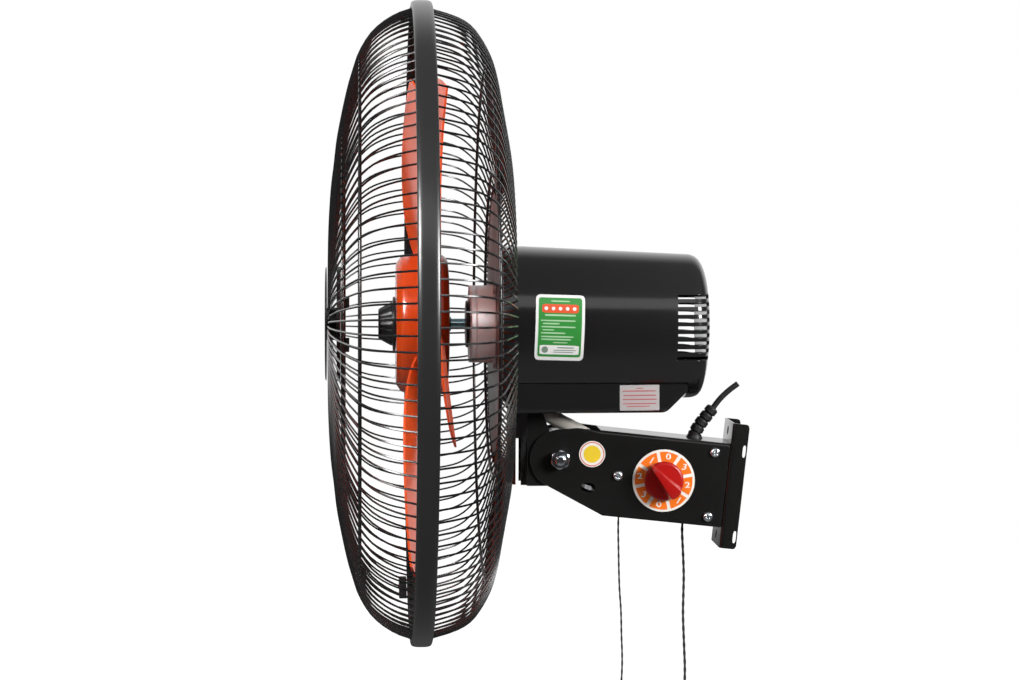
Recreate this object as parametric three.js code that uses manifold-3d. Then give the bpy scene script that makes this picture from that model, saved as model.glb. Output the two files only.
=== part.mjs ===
// A wall mounted fan with a wire guard, three blades, a tilting neck, a swinging head and two pull cords.
// Millimetres, +Z up. The origin is the centre of the wall plane behind the wall plate, +Y points into the wall.
// The fan blows towards -Y. The speed dial is on the +X side of the arm.
import * as THREE from "three";
import { mergeVertices } from "three/addons/utils/BufferGeometryUtils.js";
import Module from "manifold-3d";

const wasm = await Module();
wasm.setup();

// ---------------------------------------------------------------- driving dimensions

const clearance = 0.3; // left between pieces that touch or slide on each other
const steelSheet = 1.5; // wall of the folded bracket parts

// Wall plate and arm, in the bracket's own frame
const wallPlateHeight = 92.5;
const wallPlateWidth = 45;
const wallPlateDepth = 12.3;
const wallHoleSpacing = 78;
const wallHoleRadius = 3.2;
const flangeSlotHeight = 9;
const flangeSlotWidth = 2.5;
const flangeSlotSpacing = 63.6;
const flangeSlotDrop = 5.5; // of the two slots' middle below the origin
const flangeSlotEdge = 0.75; // metal between a slot and the wall
const armHalfWidth = 21;
const armReach = 136.5; // from the wall plane to the tilt bolt
const armTop = 30.9;
const armBottom = -31.3;
const armNoseRadius = 21.7;
const tiltHeight = 7; // of the tilt bolt above the origin
const armFlangeStart = 28; // behind the tilt bolt
const armHeelStart = 35.7; // where the sloping underside meets the level one
const armTopStart = 10; // where the level top meets the line down to the nose
const punchedSlotStart = 18; // behind the tilt bolt
const punchedSlotLength = 10;
const punchedSlotDrop = 15.5; // below the tilt bolt
const punchedSlotHeight = 6.5;
const bottomCoverGap = 1.5; // between the bottom cover's front edge and the slope

// Tilt bolt, in the arm
const boltRadius = 4;
const boltNutRadius = 7.5;
const boltNutThickness = 6.5;
const boltTail = 3.2;

// Switches, dial and cords, behind the tilt bolt and above it
const knobBehindBolt = 77.8;
const knobAboveBolt = -8.1;
const knobRadius = 14.5;
const knobBaseThickness = 5;
const knobGripHeight = 11;
const knobGripThickness = 8;
const knobStandOff = 1; // room for the dial sheet behind the knob
const knobShaftRadius = 3;
const ratchetRadius = 10.5;
const ratchetThickness = 5;
const ratchetTeeth = 8;
const speedSwitchSize = 28;
const speedCordBehindBolt = 98.2;
const speedCordDiameter = 1.8;
const swingCordBehindBolt = 50.2;
const swingCordDiameter = 1.3;
const sliderLength = 5.4;
const sliderHeight = 10;
const sliderTop = 3; // of the pull sliders, above the origin
const gripLength = 25;
const gripTopRadius = 2.8;
const gripRadius = 6;
const cordGripDepth = 6; // of the cord in its grip
const carrierStart = 39; // behind the tilt bolt
const carrierGap = 5.9; // between the carrier and the arm's rear end
const carrierThickness = 3.6;
const switchDepth = 12; // of the speed switch's body behind its ratchet
const switchWall = 2;
const swingSwitchLength = 10.5;
const swingSwitchHeight = 24;
const caseScrewRadius = 1.9;
const caseScrewHeadRadius = 3.5;
const caseScrewHeadHeight = 2.2;
const rearScrewToWall = 23.1;
const rearScrewPlace = armReach - rearScrewToWall;
const caseScrewPlaces = [[43.9, -7.8], [rearScrewPlace, 16.5], [rearScrewPlace, -31.3]];
const bushRadius = 4.5;
const bushFlangeRadius = 6;
const bushFlangeThickness = 1.4;
const bootBehindBolt = 99.8;
const bootBaseRadius = 6.25;
const bootBaseThickness = 3;
const bootRibs = 5;
const bootRibPitch = 5;
const bootRibRadius = 4.6;
const bootGrooveRadius = 3.6;
const bootLean = 26; // degrees, towards the wall
const mainsCordDiameter = 4.3;
const mainsCordInBoot = 5;

// Neck and head. In the head's frame Y runs along the fan axis to the rear, with 0 in the guard's middle plane,
// and Z is square to it, with 0 on the fan axis.
const headTilt = 6; // degrees, front down, as the fan is set
const axisToBolt = 97.8; // height of the fan axis above the tilt bolt
const guardToBolt = 101.7; // from the guard's middle plane back to the tilt bolt
const spindleBehindPlate = 23.7; // from the rear plate's face to the swing spindle
const swingSpindleRadius = 6;
const neckRear = 89;
const neckPostRadius = 14; // of the round front that turns past the guard
const neckWall = 6;
const neckHubRadius = 20;
const socketRadius = 9.6;
const socketHeight = 8.4;
const leverLength = 19;
const leverThickness = 2.7;
const leverWidth = 9;
const linkThickness = 1.8;
const linkWidth = 7;
const crankBehindGuard = 150;
const crankRadius = 8;
const crankThickness = 2.6;
const swingMotorRadius = 22;
const swingMotorHeight = 9.1;
const leadRadius = 3.4;

// Guard
const guardRadius = 236;
const bandWidth = 15;
const bandWall = 1.2;
const bandLip = 5;
const wireCount = 42; // spokes on each side
const wireRadius = 0.8;
const rimWireRadius = 2.2;
const hoopWireRadius = 1.5;
const guardEdgeInset = 6.7; // of the spokes inside the band's outer radius
const frontGuardDepth = 58.9; // from the band's edge to the middle of the front
const frontGuardRoundness = 2.8; // of the front guard's outline, where 2 is an ellipse
const rearShoulderDepth = 33.5;
const rearShoulderInset = 8.8;
const rearCrownDepth = 63.8;
const rearCrownRadius = 129;
const rearPlateRadius = 101.5;
const rearPlateDepth = 54.3;
const rearPlateThickness = 1.4;
const swingBehindGuard = rearPlateDepth + spindleBehindPlate;
const neckFront = swingBehindGuard - neckPostRadius;
const guardScrewCircle = 38;
const guardScrewRadius = 1.9;
const guardScrewHeadRadius = 4;
const guardScrewHeadHeight = 2.2;
const badgeRadius = 42;
const badgeThickness = 1.4;
const badgeBackThickness = 2.6;
const badgeDepth = 9; // from the badge's face to the back plate
const badgePostRadius = 12;
const claspLength = 23;
const claspWidth = 6;
const claspHeight = 6;
const claspAngle = -154.7; // degrees round the axis from straight up

// Blades and hub
const bladeRadius = 200;
const bladeCount = 3;
const bladePhase = -49.2; // degrees, of the first blade's tip middle from straight up
const bladeThickness = 2.2;
const bladeFront = -13.9;
const bladeRear = 20;
const bladeLeadRoot = 15; // place of the leading edge at the hub
const bladeTrailRootLift = 10.5; // of the trailing edge towards the rear, at the hub
const bladeTrailTipLift = 5; // and at the tip
const bladeLeadCorner = 26; // taken off the radius at the leading corner
const bladeTrailCorner = 4; // and at the trailing one
const bladeRootSpan = 105; // degrees
const bladeTipSpan = 89; // degrees
const bladeSweep = 24; // degrees that the blade's root lies behind its tip
const bladeCurl = 0.73; // share of the blade's fall that comes near its two edges; the rest is even across it
const hubRadius = 51;
const hubFront = -18;
const hubRear = 20.3;
const hubWall = 2.5;
const hubChamfer = 7;
const hubBossRadius = 11;
const shaftRadius = 4;
const shaftShoulderRadius = 5.2;
const shaftShoulderLength = 1.9;
const shaftNoseLength = 9; // of the shaft in front of the hub
const spinnerLength = 12.5;
const spinnerTipRadius = 11.2;
const spinnerRadius = 16;
const spinnerFlangeRadius = 20;
const spinnerFlangeThickness = 1.5;
const slingerRadius = 17.3;
const slingerThickness = 2;

// Motor
const noseFront = 35.8;
const noseRadius = 28.4;
const flangeThickness = 4;
const bellWall = 3.2;
const statorRadius = 45;
const statorBore = 24.4;
const statorFront = 85;
const statorLength = 40;
const statorSeat = 3; // length of stator held in each bell
const windingInner = 27;
const windingOuter = 41;
const windingLength = 12;
const rotorRadius = 23.6;
const bearingRadius = 11;
const bearingWidth = 7;
const bearingSeatWall = 3;
const rearWebBehindStator = 25;
const capacitorLength = 34;
const capacitorWidth = 36;
const capacitorHeight = 18;

// Motor cover and bottom pan
const coverWall = 2;
const coverRadius = 57.3;
const coverStraight = 75; // where the cover starts to taper
const coverRearRadius = 51.8;
const coverRearEdge = 200.5;
const coverEnd = 210.5;
const coverSplit = -40.6; // height of the seam between cover and pan
const panBottom = -63.1;
const panBehindPlate = 9.7; // from the rear plate's face to the pan's front
const panFront = rearPlateDepth + panBehindPlate;
const panLevelEnd = 179;
const panEnd = 194;
const panHeel = -47.9; // height of the pan's sloping end where it meets the cover
const panHalfWidth = 40;
const panRearHalfWidth = 32.4;
const ventCount = 9;
const ventPitch = 5.6;
const ventHeight = 2.8;
const ventTop = 22.25;
const ventFront = 184.3;
const ventReach = 30; // half the width of the closed middle of the rear
const beyond = 2.2 * coverRadius; // longer than any section of the cover or the pan

// ---------------------------------------------------------------- shaping helpers

const degrees = Math.PI / 180;

// A closed mesh as a solid: its vertices are merged and its flat triangles dropped.
function solid(geometry) {
  const bare = geometry.index ? geometry.toNonIndexed() : geometry.clone();
  for (const name of Object.keys(bare.attributes)) if (name !== "position") bare.deleteAttribute(name);
  const merged = mergeVertices(bare, 1e-4);
  const corners = merged.index.array;
  const kept = [];
  for (let i = 0; i < corners.length; i += 3) {
    const [a, b, c] = [corners[i], corners[i + 1], corners[i + 2]];
    if (a !== b && b !== c && c !== a) kept.push(a, b, c);
  }
  return new wasm.Manifold(new wasm.Mesh({
    numProp: 3,
    vertProperties: merged.attributes.position.array,
    triVerts: new Uint32Array(kept),
  }));
}

// Turns a geometry made along +Y so that it runs along the named axis.
function turnTo(axis, geometry) {
  if (axis === "x") return geometry.rotateZ(-Math.PI / 2);
  if (axis === "z") return geometry.rotateX(Math.PI / 2);
  return geometry;
}

// A round bar from one place to another along an axis, through centre.
function rod(axis, radius, from, to, centre = [0, 0, 0], sides = 16) {
  const bar = new THREE.CylinderGeometry(radius, radius, to - from, sides);
  bar.translate(0, (from + to) / 2, 0);
  return solid(turnTo(axis, bar).translate(...centre));
}

// A turned piece. The profile lists [radius, place along the axis] round the section, outer side first upwards.
function turned(axis, profile, centre = [0, 0, 0], sides = 24) {
  const points = profile.map(([radius, along]) => new THREE.Vector2(radius, along));
  if (profile[0][0] > 0) points.push(points[0].clone());
  return solid(turnTo(axis, new THREE.LatheGeometry(points, sides)).translate(...centre));
}

// A ring of round wire about Y, drawn with a four sided section.
function hoop(ringRadius, along, wire, sides = wireCount) {
  return turned("y", [[ringRadius, along - wire], [ringRadius + wire, along], [ringRadius, along + wire],
    [ringRadius - wire, along]], [0, 0, 0], sides);
}

function block([x0, x1], [y0, y1], [z0, z1]) {
  const box = new THREE.BoxGeometry(x1 - x0, y1 - y0, z1 - z0);
  return solid(box.translate((x0 + x1) / 2, (y0 + y1) / 2, (z0 + z1) / 2));
}

// A flat outline drawn in Y and Z, made thick along X.
function sidePlate(shape, x0, x1, curveSegments = 10) {
  const plate = new THREE.ExtrudeGeometry(shape, { depth: x1 - x0, bevelEnabled: false, curveSegments });
  const yzx = new THREE.Matrix4().set(0, 0, 1, 0, 1, 0, 0, 0, 0, 1, 0, 0, 0, 0, 0, 1);
  return solid(plate.applyMatrix4(yzx).translate(x0, 0, 0));
}

function outline(points) {
  return new THREE.Shape(points.map(([a, b]) => new THREE.Vector2(a, b)));
}

// A tube of round section along a smooth curve through the points.
function tube(points, radius, sides, steps) {
  const section = new THREE.Shape();
  for (let i = 0; i < sides; i++) {
    const angle = (i / sides) * 2 * Math.PI;
    section[i ? "lineTo" : "moveTo"](radius * Math.cos(angle), radius * Math.sin(angle));
  }
  const path = new THREE.CatmullRomCurve3(points.map((p) => new THREE.Vector3(...p)));
  return solid(new THREE.ExtrudeGeometry(section, { steps, extrudePath: path, bevelEnabled: false }));
}

// A bent wire in the plane X = 0, through [radius, along] points, with a three sided section.
function bentWire(path, radius) {
  const at = path.map(([r, y]) => new THREE.Vector3(0, y, r));
  const sideways = new THREE.Vector3(1, 0, 0);
  const corners = [];
  at.forEach((point, i) => {
    const ahead = at[Math.min(i + 1, at.length - 1)].clone().sub(at[Math.max(i - 1, 0)]).normalize();
    const outward = sideways.clone().cross(ahead);
    for (const angle of [90, 210, 330]) {
      corners.push(point.clone().addScaledVector(outward, radius * Math.sin(angle * degrees))
        .addScaledVector(sideways, radius * Math.cos(angle * degrees)));
    }
  });
  const faces = [];
  const last = corners.length - 3;
  for (let i = 0; i < last; i += 3) {
    for (let k = 0; k < 3; k++) {
      const [a, b] = [i + k, i + ((k + 1) % 3)];
      faces.push(a, a + 3, b, b, a + 3, b + 3);
    }
  }
  faces.push(0, 1, 2, last, last + 2, last + 1);
  return new THREE.BufferGeometry().setFromPoints(corners).setIndex(faces);
}

// The place inside a bend of a path where a hoop lies against it: toward points to the inside.
function seatInside(path, index, distance, toward) {
  const [before, here, after] = [path[index - 1], path[index], path[index + 1]];
  const along = new THREE.Vector2(after[0] - before[0], after[1] - before[1]).normalize();
  const inward = new THREE.Vector2(-along.y, along.x);
  if (inward.dot(new THREE.Vector2(...toward)) < 0) inward.negate();
  return [here[0] + inward.x * distance, here[1] + inward.y * distance];
}

function finish(color, roughness, metalness = 0) {
  return new THREE.MeshStandardMaterial({ color, roughness, metalness });
}

// Adds a solid to a group as a named mesh.
function addPiece(group, name, shape, material) {
  const { vertProperties, triVerts } = shape.getMesh();
  const geometry = new THREE.BufferGeometry();
  geometry.setAttribute("position", new THREE.BufferAttribute(vertProperties, 3));
  geometry.setIndex(new THREE.BufferAttribute(triVerts, 1));
  geometry.computeVertexNormals();
  const mesh = new THREE.Mesh(geometry, material);
  mesh.name = name;
  group.add(mesh);
}

// ---------------------------------------------------------------- finishes

const blackPaint = finish(0x1c1c1b, 0.3, 0.2);
const blackPlastic = finish(0x232324, 0.35);
const blackWire = finish(0x101010, 0.3, 0.4);
const brownPlate = finish(0x4b3c3e, 0.35, 0.3);
const orangePlastic = finish(0xe2501c, 0.25);
const redPlastic = finish(0xc81410, 0.3);
const castAluminium = finish(0xcdc8c6, 0.35, 0.9);
const zincSteel = finish(0xb9bcc0, 0.3, 0.9);
const siliconSteel = finish(0x6d6f72, 0.5, 0.8);
const copper = finish(0xb2622c, 0.4, 0.7);
const greyRubber = finish(0x78706a, 0.7);
const blackCord = finish(0x17171a, 0.8);
const whitePlastic = finish(0xe6e2da, 0.5);

// ---------------------------------------------------------------- groups

const fan = new THREE.Group();
const neckTurn = new THREE.Group(); // turned about the tilt bolt
neckTurn.position.set(0, -armReach, tiltHeight);
neckTurn.rotation.x = headTilt * degrees;
const head = new THREE.Group(); // the head's own frame, on the fan axis
head.position.set(0, -guardToBolt, axisToBolt);
neckTurn.add(head);
fan.add(neckTurn);

// ---------------------------------------------------------------- wall plate and arm

const boltY = -armReach;
const boltZ = tiltHeight;
const armRear = -wallPlateDepth - clearance;
const armInside = armHalfWidth - steelSheet;

function buildWallPlate() {
  const [half, top] = [wallPlateWidth / 2, wallPlateHeight / 2];
  let plate = block([-half, half], [-wallPlateDepth, 0], [-top, top]);
  plate = plate.subtract(block([-half + steelSheet, half - steelSheet],
    [-wallPlateDepth + steelSheet, 1], [-top - 1, top + 1]));
  for (const side of [-1, 1]) {
    plate = plate.subtract(rod("y", wallHoleRadius, -wallPlateDepth - 1, 0, [0, 0, side * wallHoleSpacing / 2]));
    const slotZ = -flangeSlotDrop + side * flangeSlotSpacing / 2;
    plate = plate.subtract(block([-half - 1, half + 1], [-flangeSlotWidth - flangeSlotEdge, -flangeSlotEdge],
      [slotZ - flangeSlotHeight / 2, slotZ + flangeSlotHeight / 2]));
  }
  addPiece(fan, "wall_plate", plate, blackPaint);
}

// The arm's side: a round nose about the bolt, a level top, and an underside that slopes down and then runs level.
function armSide() {
  const side = new THREE.Shape();
  side.moveTo(armRear, armTop);
  side.lineTo(boltY + armTopStart, armTop);
  side.absarc(boltY, boltZ, armNoseRadius, 100 * degrees, 250 * degrees, false);
  side.lineTo(boltY + armHeelStart, armBottom);
  side.lineTo(armRear, armBottom);
  return side;
}

function buildArm() {
  const knob = [0, boltY + knobBehindBolt, boltZ + knobAboveBolt];
  let arm = sidePlate(armSide(), -armHalfWidth, -armInside)
    .add(sidePlate(armSide(), armInside, armHalfWidth))
    .add(block([-armHalfWidth, armHalfWidth], [boltY + armFlangeStart, armRear], [armTop - steelSheet, armTop]));
  arm = arm.subtract(rod("x", boltRadius + clearance, -armHalfWidth - 1, armHalfWidth + 1, [0, boltY, boltZ]))
    .subtract(rod("x", knobShaftRadius + 2, 0, armHalfWidth + 1, knob))
    .subtract(rod("z", bootBaseRadius - 0.8, armTop - 3, armTop + 1, [0, boltY + bootBehindBolt, 0]))
    .subtract(block([0, armHalfWidth + 1], [boltY + punchedSlotStart, boltY + punchedSlotStart + punchedSlotLength],
      [boltZ - punchedSlotDrop - punchedSlotHeight, boltZ - punchedSlotDrop]));
  for (const [behind, above] of caseScrewPlaces) {
    arm = arm.subtract(rod("x", caseScrewRadius + clearance, 0, armHalfWidth + 1,
      [0, boltY + behind, boltZ + above], 12));
  }
  addPiece(fan, "arm_channel", arm, blackPaint);

  const coverHalf = armInside - clearance;
  let cover = block([-coverHalf, coverHalf], [boltY + armHeelStart + bottomCoverGap, armRear],
    [armBottom, armBottom + steelSheet]);
  for (const behind of [swingCordBehindBolt, speedCordBehindBolt]) {
    cover = cover.subtract(rod("z", bushRadius + clearance, armBottom - 1, armBottom + 3, [0, boltY + behind, 0]));
  }
  addPiece(fan, "arm_bottom_cover", cover, blackPaint);
}

function buildTiltBolt() {
  const seat = armHalfWidth + clearance;
  const centre = [0, boltY, boltZ];
  const tail = seat + boltNutThickness + boltTail;
  const bolt = rod("x", boltRadius, -seat - 1, tail, centre)
    .add(rod("x", boltNutRadius, -seat - 5.3, -seat, centre, 6));
  const nut = rod("x", boltNutRadius, seat, seat + boltNutThickness, centre, 6)
    .subtract(rod("x", boltRadius + clearance, seat - 1, tail, centre));
  addPiece(fan, "tilt_bolt", bolt, zincSteel);
  addPiece(fan, "tilt_nut", nut, zincSteel);
}

// ---------------------------------------------------------------- switches in the arm

const knobPlace = [0, boltY + knobBehindBolt, boltZ + knobAboveBolt];
const carrierOuter = armInside - clearance;
const carrierInner = carrierOuter - carrierThickness;
const switchFace = carrierInner - clearance;

function buildSwitches() {
  let carrier = block([carrierInner, carrierOuter], [boltY + carrierStart, armRear - carrierGap],
    [armBottom + steelSheet + clearance, armTop - steelSheet - clearance]);
  carrier = carrier.subtract(rod("x", knobShaftRadius + 0.8, 0, armHalfWidth, knobPlace));
  caseScrewPlaces.forEach(([behind, above], i) => {
    const place = [0, boltY + behind, boltZ + above];
    carrier = carrier.subtract(rod("x", caseScrewRadius + clearance, 0, armHalfWidth, place, 12));
    const head = armHalfWidth + clearance;
    const screw = rod("x", caseScrewRadius, carrierInner - 3, head + 0.5, place, 8)
      .add(turned("x", [[0, head], [caseScrewHeadRadius, head], [caseScrewHeadRadius - 0.8, head + caseScrewHeadHeight],
        [0, head + caseScrewHeadHeight]], place, 12));
    addPiece(fan, `case_screw_${i + 1}`, screw, zincSteel);
  });
  addPiece(fan, "switch_carrier", carrier, blackPlastic);

  const half = speedSwitchSize / 2;
  const [, knobY, knobZ] = knobPlace;
  const back = switchFace - ratchetThickness - switchDepth;
  const speedSwitch = block([back, switchFace], [knobY - half, knobY + half], [knobZ - half, knobZ + half])
    .subtract(rod("x", ratchetRadius + 1, back + switchWall, switchFace - switchWall, knobPlace))
    .subtract(rod("x", knobShaftRadius + 0.5, 0, switchFace + 1, knobPlace));
  addPiece(fan, "speed_switch", speedSwitch, whitePlastic);

  const swingSwitchFront = boltY + swingCordBehindBolt + sliderLength / 2 + clearance;
  addPiece(fan, "swing_switch", block([-8, switchFace], [swingSwitchFront, swingSwitchFront + swingSwitchLength],
    [sliderTop + 4 - swingSwitchHeight, sliderTop + 4]), whitePlastic);
}

// The dial knob has a wedge grip across it; its shaft carries the ratchet wheel that the speed cord turns.
function buildKnob() {
  const back = armHalfWidth + knobStandOff;
  const face = back + knobBaseThickness;
  const [, knobY, knobZ] = knobPlace;
  const base = turned("x", [[0, back], [knobRadius, back], [knobRadius, face - 1.5], [knobRadius - 1.5, face], [0, face]],
    knobPlace);
  const grip = new THREE.BoxGeometry(knobGripHeight + 1, knobGripThickness, 2 * knobRadius - 3);
  grip.translate(face - 1 + (knobGripHeight + 1) / 2, 0, 0).rotateX(-48 * degrees).translate(0, knobY, knobZ);
  const bore = rod("x", knobShaftRadius + clearance, back - 1, face + 5, knobPlace);
  addPiece(fan, "speed_knob", base.add(solid(grip)).subtract(bore), redPlastic);

  const wheelEnd = switchFace - 3;
  let shaft = rod("x", knobShaftRadius, wheelEnd - ratchetThickness - 1, face + 4.5, knobPlace)
    .add(rod("x", ratchetRadius, wheelEnd - ratchetThickness, wheelEnd, knobPlace, 24));
  for (let i = 0; i < ratchetTeeth; i++) {
    const angle = (i / ratchetTeeth) * 2 * Math.PI;
    const notch = [0, knobY + ratchetRadius * Math.cos(angle), knobZ + ratchetRadius * Math.sin(angle)];
    shaft = shaft.subtract(rod("x", 2, wheelEnd - ratchetThickness - 1, wheelEnd + 1, notch, 8));
  }
  addPiece(fan, "knob_shaft", shaft, zincSteel);
}

// ---------------------------------------------------------------- cords

// Routes of the hanging cords, which keep a slight set towards the wall from their packing: [towards the wall, height]
const swingCordRoute = [[0, -7.3], [0, -25], [0.3, -38], [3.0, -60], [6.4, -85], [9.6, -103], [12.0, -121], [14.2, -136],
  [15.6, -151], [16.4, -172], [16.2, -195], [15.8, -216], [15.6, -237]];
const speedCordRoute = [[0, -7.3], [0, -25], [0.3, -38], [2.9, -55], [5.4, -72], [6.9, -88], [8.4, -103], [12.0, -127],
  [14.2, -142], [15.6, -158], [15.9, -175], [15.4, -195], [15.8, -216], [15.5, -237]];
const mainsCordRoute = [[0, 0, 0], [0, 2.2, 4.5], [0, 6.6, 11.6], [0, 12.2, 18.2], [0, 18.4, 24]];

function buildPullCord(name, behind, diameter, route) {
  const cordY = boltY + behind;
  const wire = diameter / 2;
  const [gripOffset, cordEnd] = route[route.length - 1];
  const sliderBottom = sliderTop - sliderHeight;
  addPiece(fan, `${name}_slider`, block([-4, 4], [cordY - sliderLength / 2, cordY + sliderLength / 2],
    [sliderBottom, sliderTop]), whitePlastic);
  addPiece(fan, `${name}_cord`, tube(route.map(([offset, z]) => [0, cordY + offset, z]), wire, 8, 20), blackCord);
  const bush = turned("z", [[bushFlangeRadius, armBottom - clearance - bushFlangeThickness],
    [bushFlangeRadius, armBottom - clearance], [bushRadius, armBottom - clearance],
    [bushRadius, armBottom + steelSheet], [wire + 0.6, armBottom + steelSheet],
    [wire + 0.6, armBottom - clearance - bushFlangeThickness]], [0, cordY, 0], 12);
  addPiece(fan, `${name}_cord_bush`, bush, blackPlastic);
  const top = cordEnd + cordGripDepth;
  const bottom = top - gripLength;
  const grip = turned("z", [[0, bottom], [gripRadius - 1.2, bottom], [gripRadius, bottom + 2], [gripRadius - 1, bottom + 9],
    [gripTopRadius, top], [wire + clearance, top], [wire + clearance, cordEnd - clearance], [0, cordEnd - clearance]],
    [0, cordY + gripOffset, 0], 12);
  addPiece(fan, `${name}_pull_grip`, grip, blackPlastic);
}

// The moulded boot stands on the arm's top flange and leans to the wall. The mains lead leaves it at the top.
function buildMainsCord() {
  const place = [0, boltY + bootBehindBolt, armTop];
  const ribLength = bootRibs * bootRibPitch;
  const base = turned("z", [[0, -3], [bootBaseRadius - 1.6, -3], [bootBaseRadius - 1.6, clearance],
    [bootBaseRadius, clearance], [bootBaseRadius - 0.6, bootBaseThickness], [0, bootBaseThickness]], place, 16);
  const profile = [[0, 0]];
  for (let i = 0; i < bootRibs; i++) {
    const start = 1.5 + i * bootRibPitch;
    profile.push([bootGrooveRadius, start], [bootRibRadius, start + 0.8], [bootRibRadius, start + 3]);
  }
  const top = 1.5 + ribLength;
  profile.push([bootGrooveRadius, top], [0, top]);
  const lean = (geometry) => geometry.rotateX(Math.PI / 2).rotateX(-bootLean * degrees).translate(...place);
  const ribs = solid(lean(new THREE.LatheGeometry(profile.map(([r, z]) => new THREE.Vector2(r, z)), 10)));
  const boreLength = mainsCordInBoot + 1;
  const boreRadius = mainsCordDiameter / 2 + 0.5;
  const bore = new THREE.CylinderGeometry(boreRadius, boreRadius, boreLength, 12);
  bore.translate(0, top - mainsCordInBoot - clearance + boreLength / 2, 0);
  addPiece(fan, "cord_boot", base.add(ribs).subtract(solid(lean(bore))), blackPlastic);

  const start = top - mainsCordInBoot;
  const startY = place[1] + start * Math.sin(bootLean * degrees);
  const startZ = place[2] + start * Math.cos(bootLean * degrees);
  const route = mainsCordRoute.map(([x, y, z]) => [x, startY + y, startZ + z]);
  addPiece(fan, "mains_cord", tube(route, mainsCordDiameter / 2, 10, 8), blackCord);
}

// ---------------------------------------------------------------- neck

const neckTop = panBottom - clearance;
const leverBottom = panBottom + socketHeight + 0.6;

function buildNeck() {
  const half = armInside - clearance;
  const [pivotY, pivotZ] = [guardToBolt, -axisToBolt];
  const side = new THREE.Shape();
  side.moveTo(neckFront, neckTop);
  side.lineTo(neckFront, pivotZ - neckHubRadius + 3);
  side.lineTo(neckFront + 3, pivotZ - neckHubRadius);
  side.lineTo(pivotY, pivotZ - neckHubRadius);
  side.absarc(pivotY, pivotZ, neckHubRadius, -90 * degrees, 110 * degrees, false);
  side.lineTo(neckRear, neckTop);
  const [low, high] = [pivotZ - neckHubRadius - 1, neckTop + 1];
  const plan = rod("z", neckPostRadius, low, high, [0, swingBehindGuard, 0], 24)
    .add(block([-half, half], [swingBehindGuard, pivotY + neckHubRadius + 1], [low, high]));
  let yoke = sidePlate(side, -half, half).intersect(plan);
  const spindleBottom = neckTop - 16;
  yoke = yoke.subtract(block([-half + neckWall, half - neckWall], [neckFront + neckWall, pivotY + 30],
    [low - 1, spindleBottom - 4]))
    .subtract(rod("x", boltRadius + clearance, -half - 1, half + 1, [0, pivotY, pivotZ]))
    .subtract(rod("z", swingSpindleRadius + clearance, spindleBottom, neckTop + 1, [0, swingBehindGuard, 0]));
  addPiece(head, "neck_yoke", yoke, blackPaint);

  const leverTop = leverBottom + leverThickness;
  const spindle = rod("z", swingSpindleRadius, spindleBottom + clearance, leverTop, [0, swingBehindGuard, 0])
    .add(block([-leverWidth / 2, leverWidth / 2], [swingBehindGuard, swingBehindGuard + leverLength],
      [leverBottom, leverTop]));
  addPiece(head, "swing_spindle", spindle, zincSteel);

  const leadRoute = [[7, 97, panBottom - 1.2], [7, 97.6, -69.6], [7, 105, -73], [7, 116, -76], [7, 126, -83]];
  addPiece(head, "motor_lead", tube(leadRoute, leadRadius, 10, 8), greyRubber);
}

// ---------------------------------------------------------------- guard

const edgeRadius = guardRadius - guardEdgeInset;
const rimRadius = guardRadius - bandWall - 0.4 - rimWireRadius;
const rimPlace = rimWireRadius + 0.7; // of each rim wire on its side of the middle plane
const bandEdge = bandWidth / 2;

// A point of the front guard's outline: 0 degrees at the band, 90 degrees in the middle of the front.
function frontOutline(angle) {
  const radius = edgeRadius * Math.cos(angle * degrees) ** (2 / frontGuardRoundness);
  return [radius, -bandEdge - 0.5 - frontGuardDepth * Math.sin(angle * degrees)];
}

const frontEndRadius = badgeRadius - 2; // the spokes end behind the badge's rim
const frontEndAngle = Math.acos((frontEndRadius / edgeRadius) ** (frontGuardRoundness / 2)) / degrees;
const frontWirePath = [[rimRadius - 1, -rimPlace], ...[0, 20, 38, 58, frontEndAngle].map(frontOutline)];
const shoulderRadius = edgeRadius - rearShoulderInset;
const rearRingRadius = rearPlateRadius + 2;
const rearWirePath = [[rimRadius - 1, rimPlace], [edgeRadius, bandEdge + 0.5],
  [shoulderRadius, rearShoulderDepth], [shoulderRadius - 24.2, rearShoulderDepth + 16.5],
  [rearCrownRadius, rearCrownDepth],
  [rearRingRadius + 8, rearCrownDepth - 4.5], [rearRingRadius, rearPlateDepth + 0.2]];

// One side of the cage: spokes welded between a rim wire and an inner ring.
function cageSide(path, rimAlong) {
  const [innerRadius, innerAlong] = path[path.length - 1];
  let cage = hoop(rimRadius, rimAlong, rimWireRadius).add(hoop(innerRadius, innerAlong, hoopWireRadius));
  const spoke = bentWire(path, wireRadius);
  for (let i = 0; i < wireCount; i++) {
    cage = cage.add(solid(spoke.clone().rotateY((i / wireCount) * 2 * Math.PI)));
  }
  return cage;
}

function addHoops(side, path, places) {
  places.forEach(([name, index, toward]) => {
    const [radius, along] = seatInside(path, index, wireRadius + hoopWireRadius + clearance, toward);
    addPiece(head, `${side}_hoop_${name}`, hoop(radius, along, hoopWireRadius), blackWire);
  });
}

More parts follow.
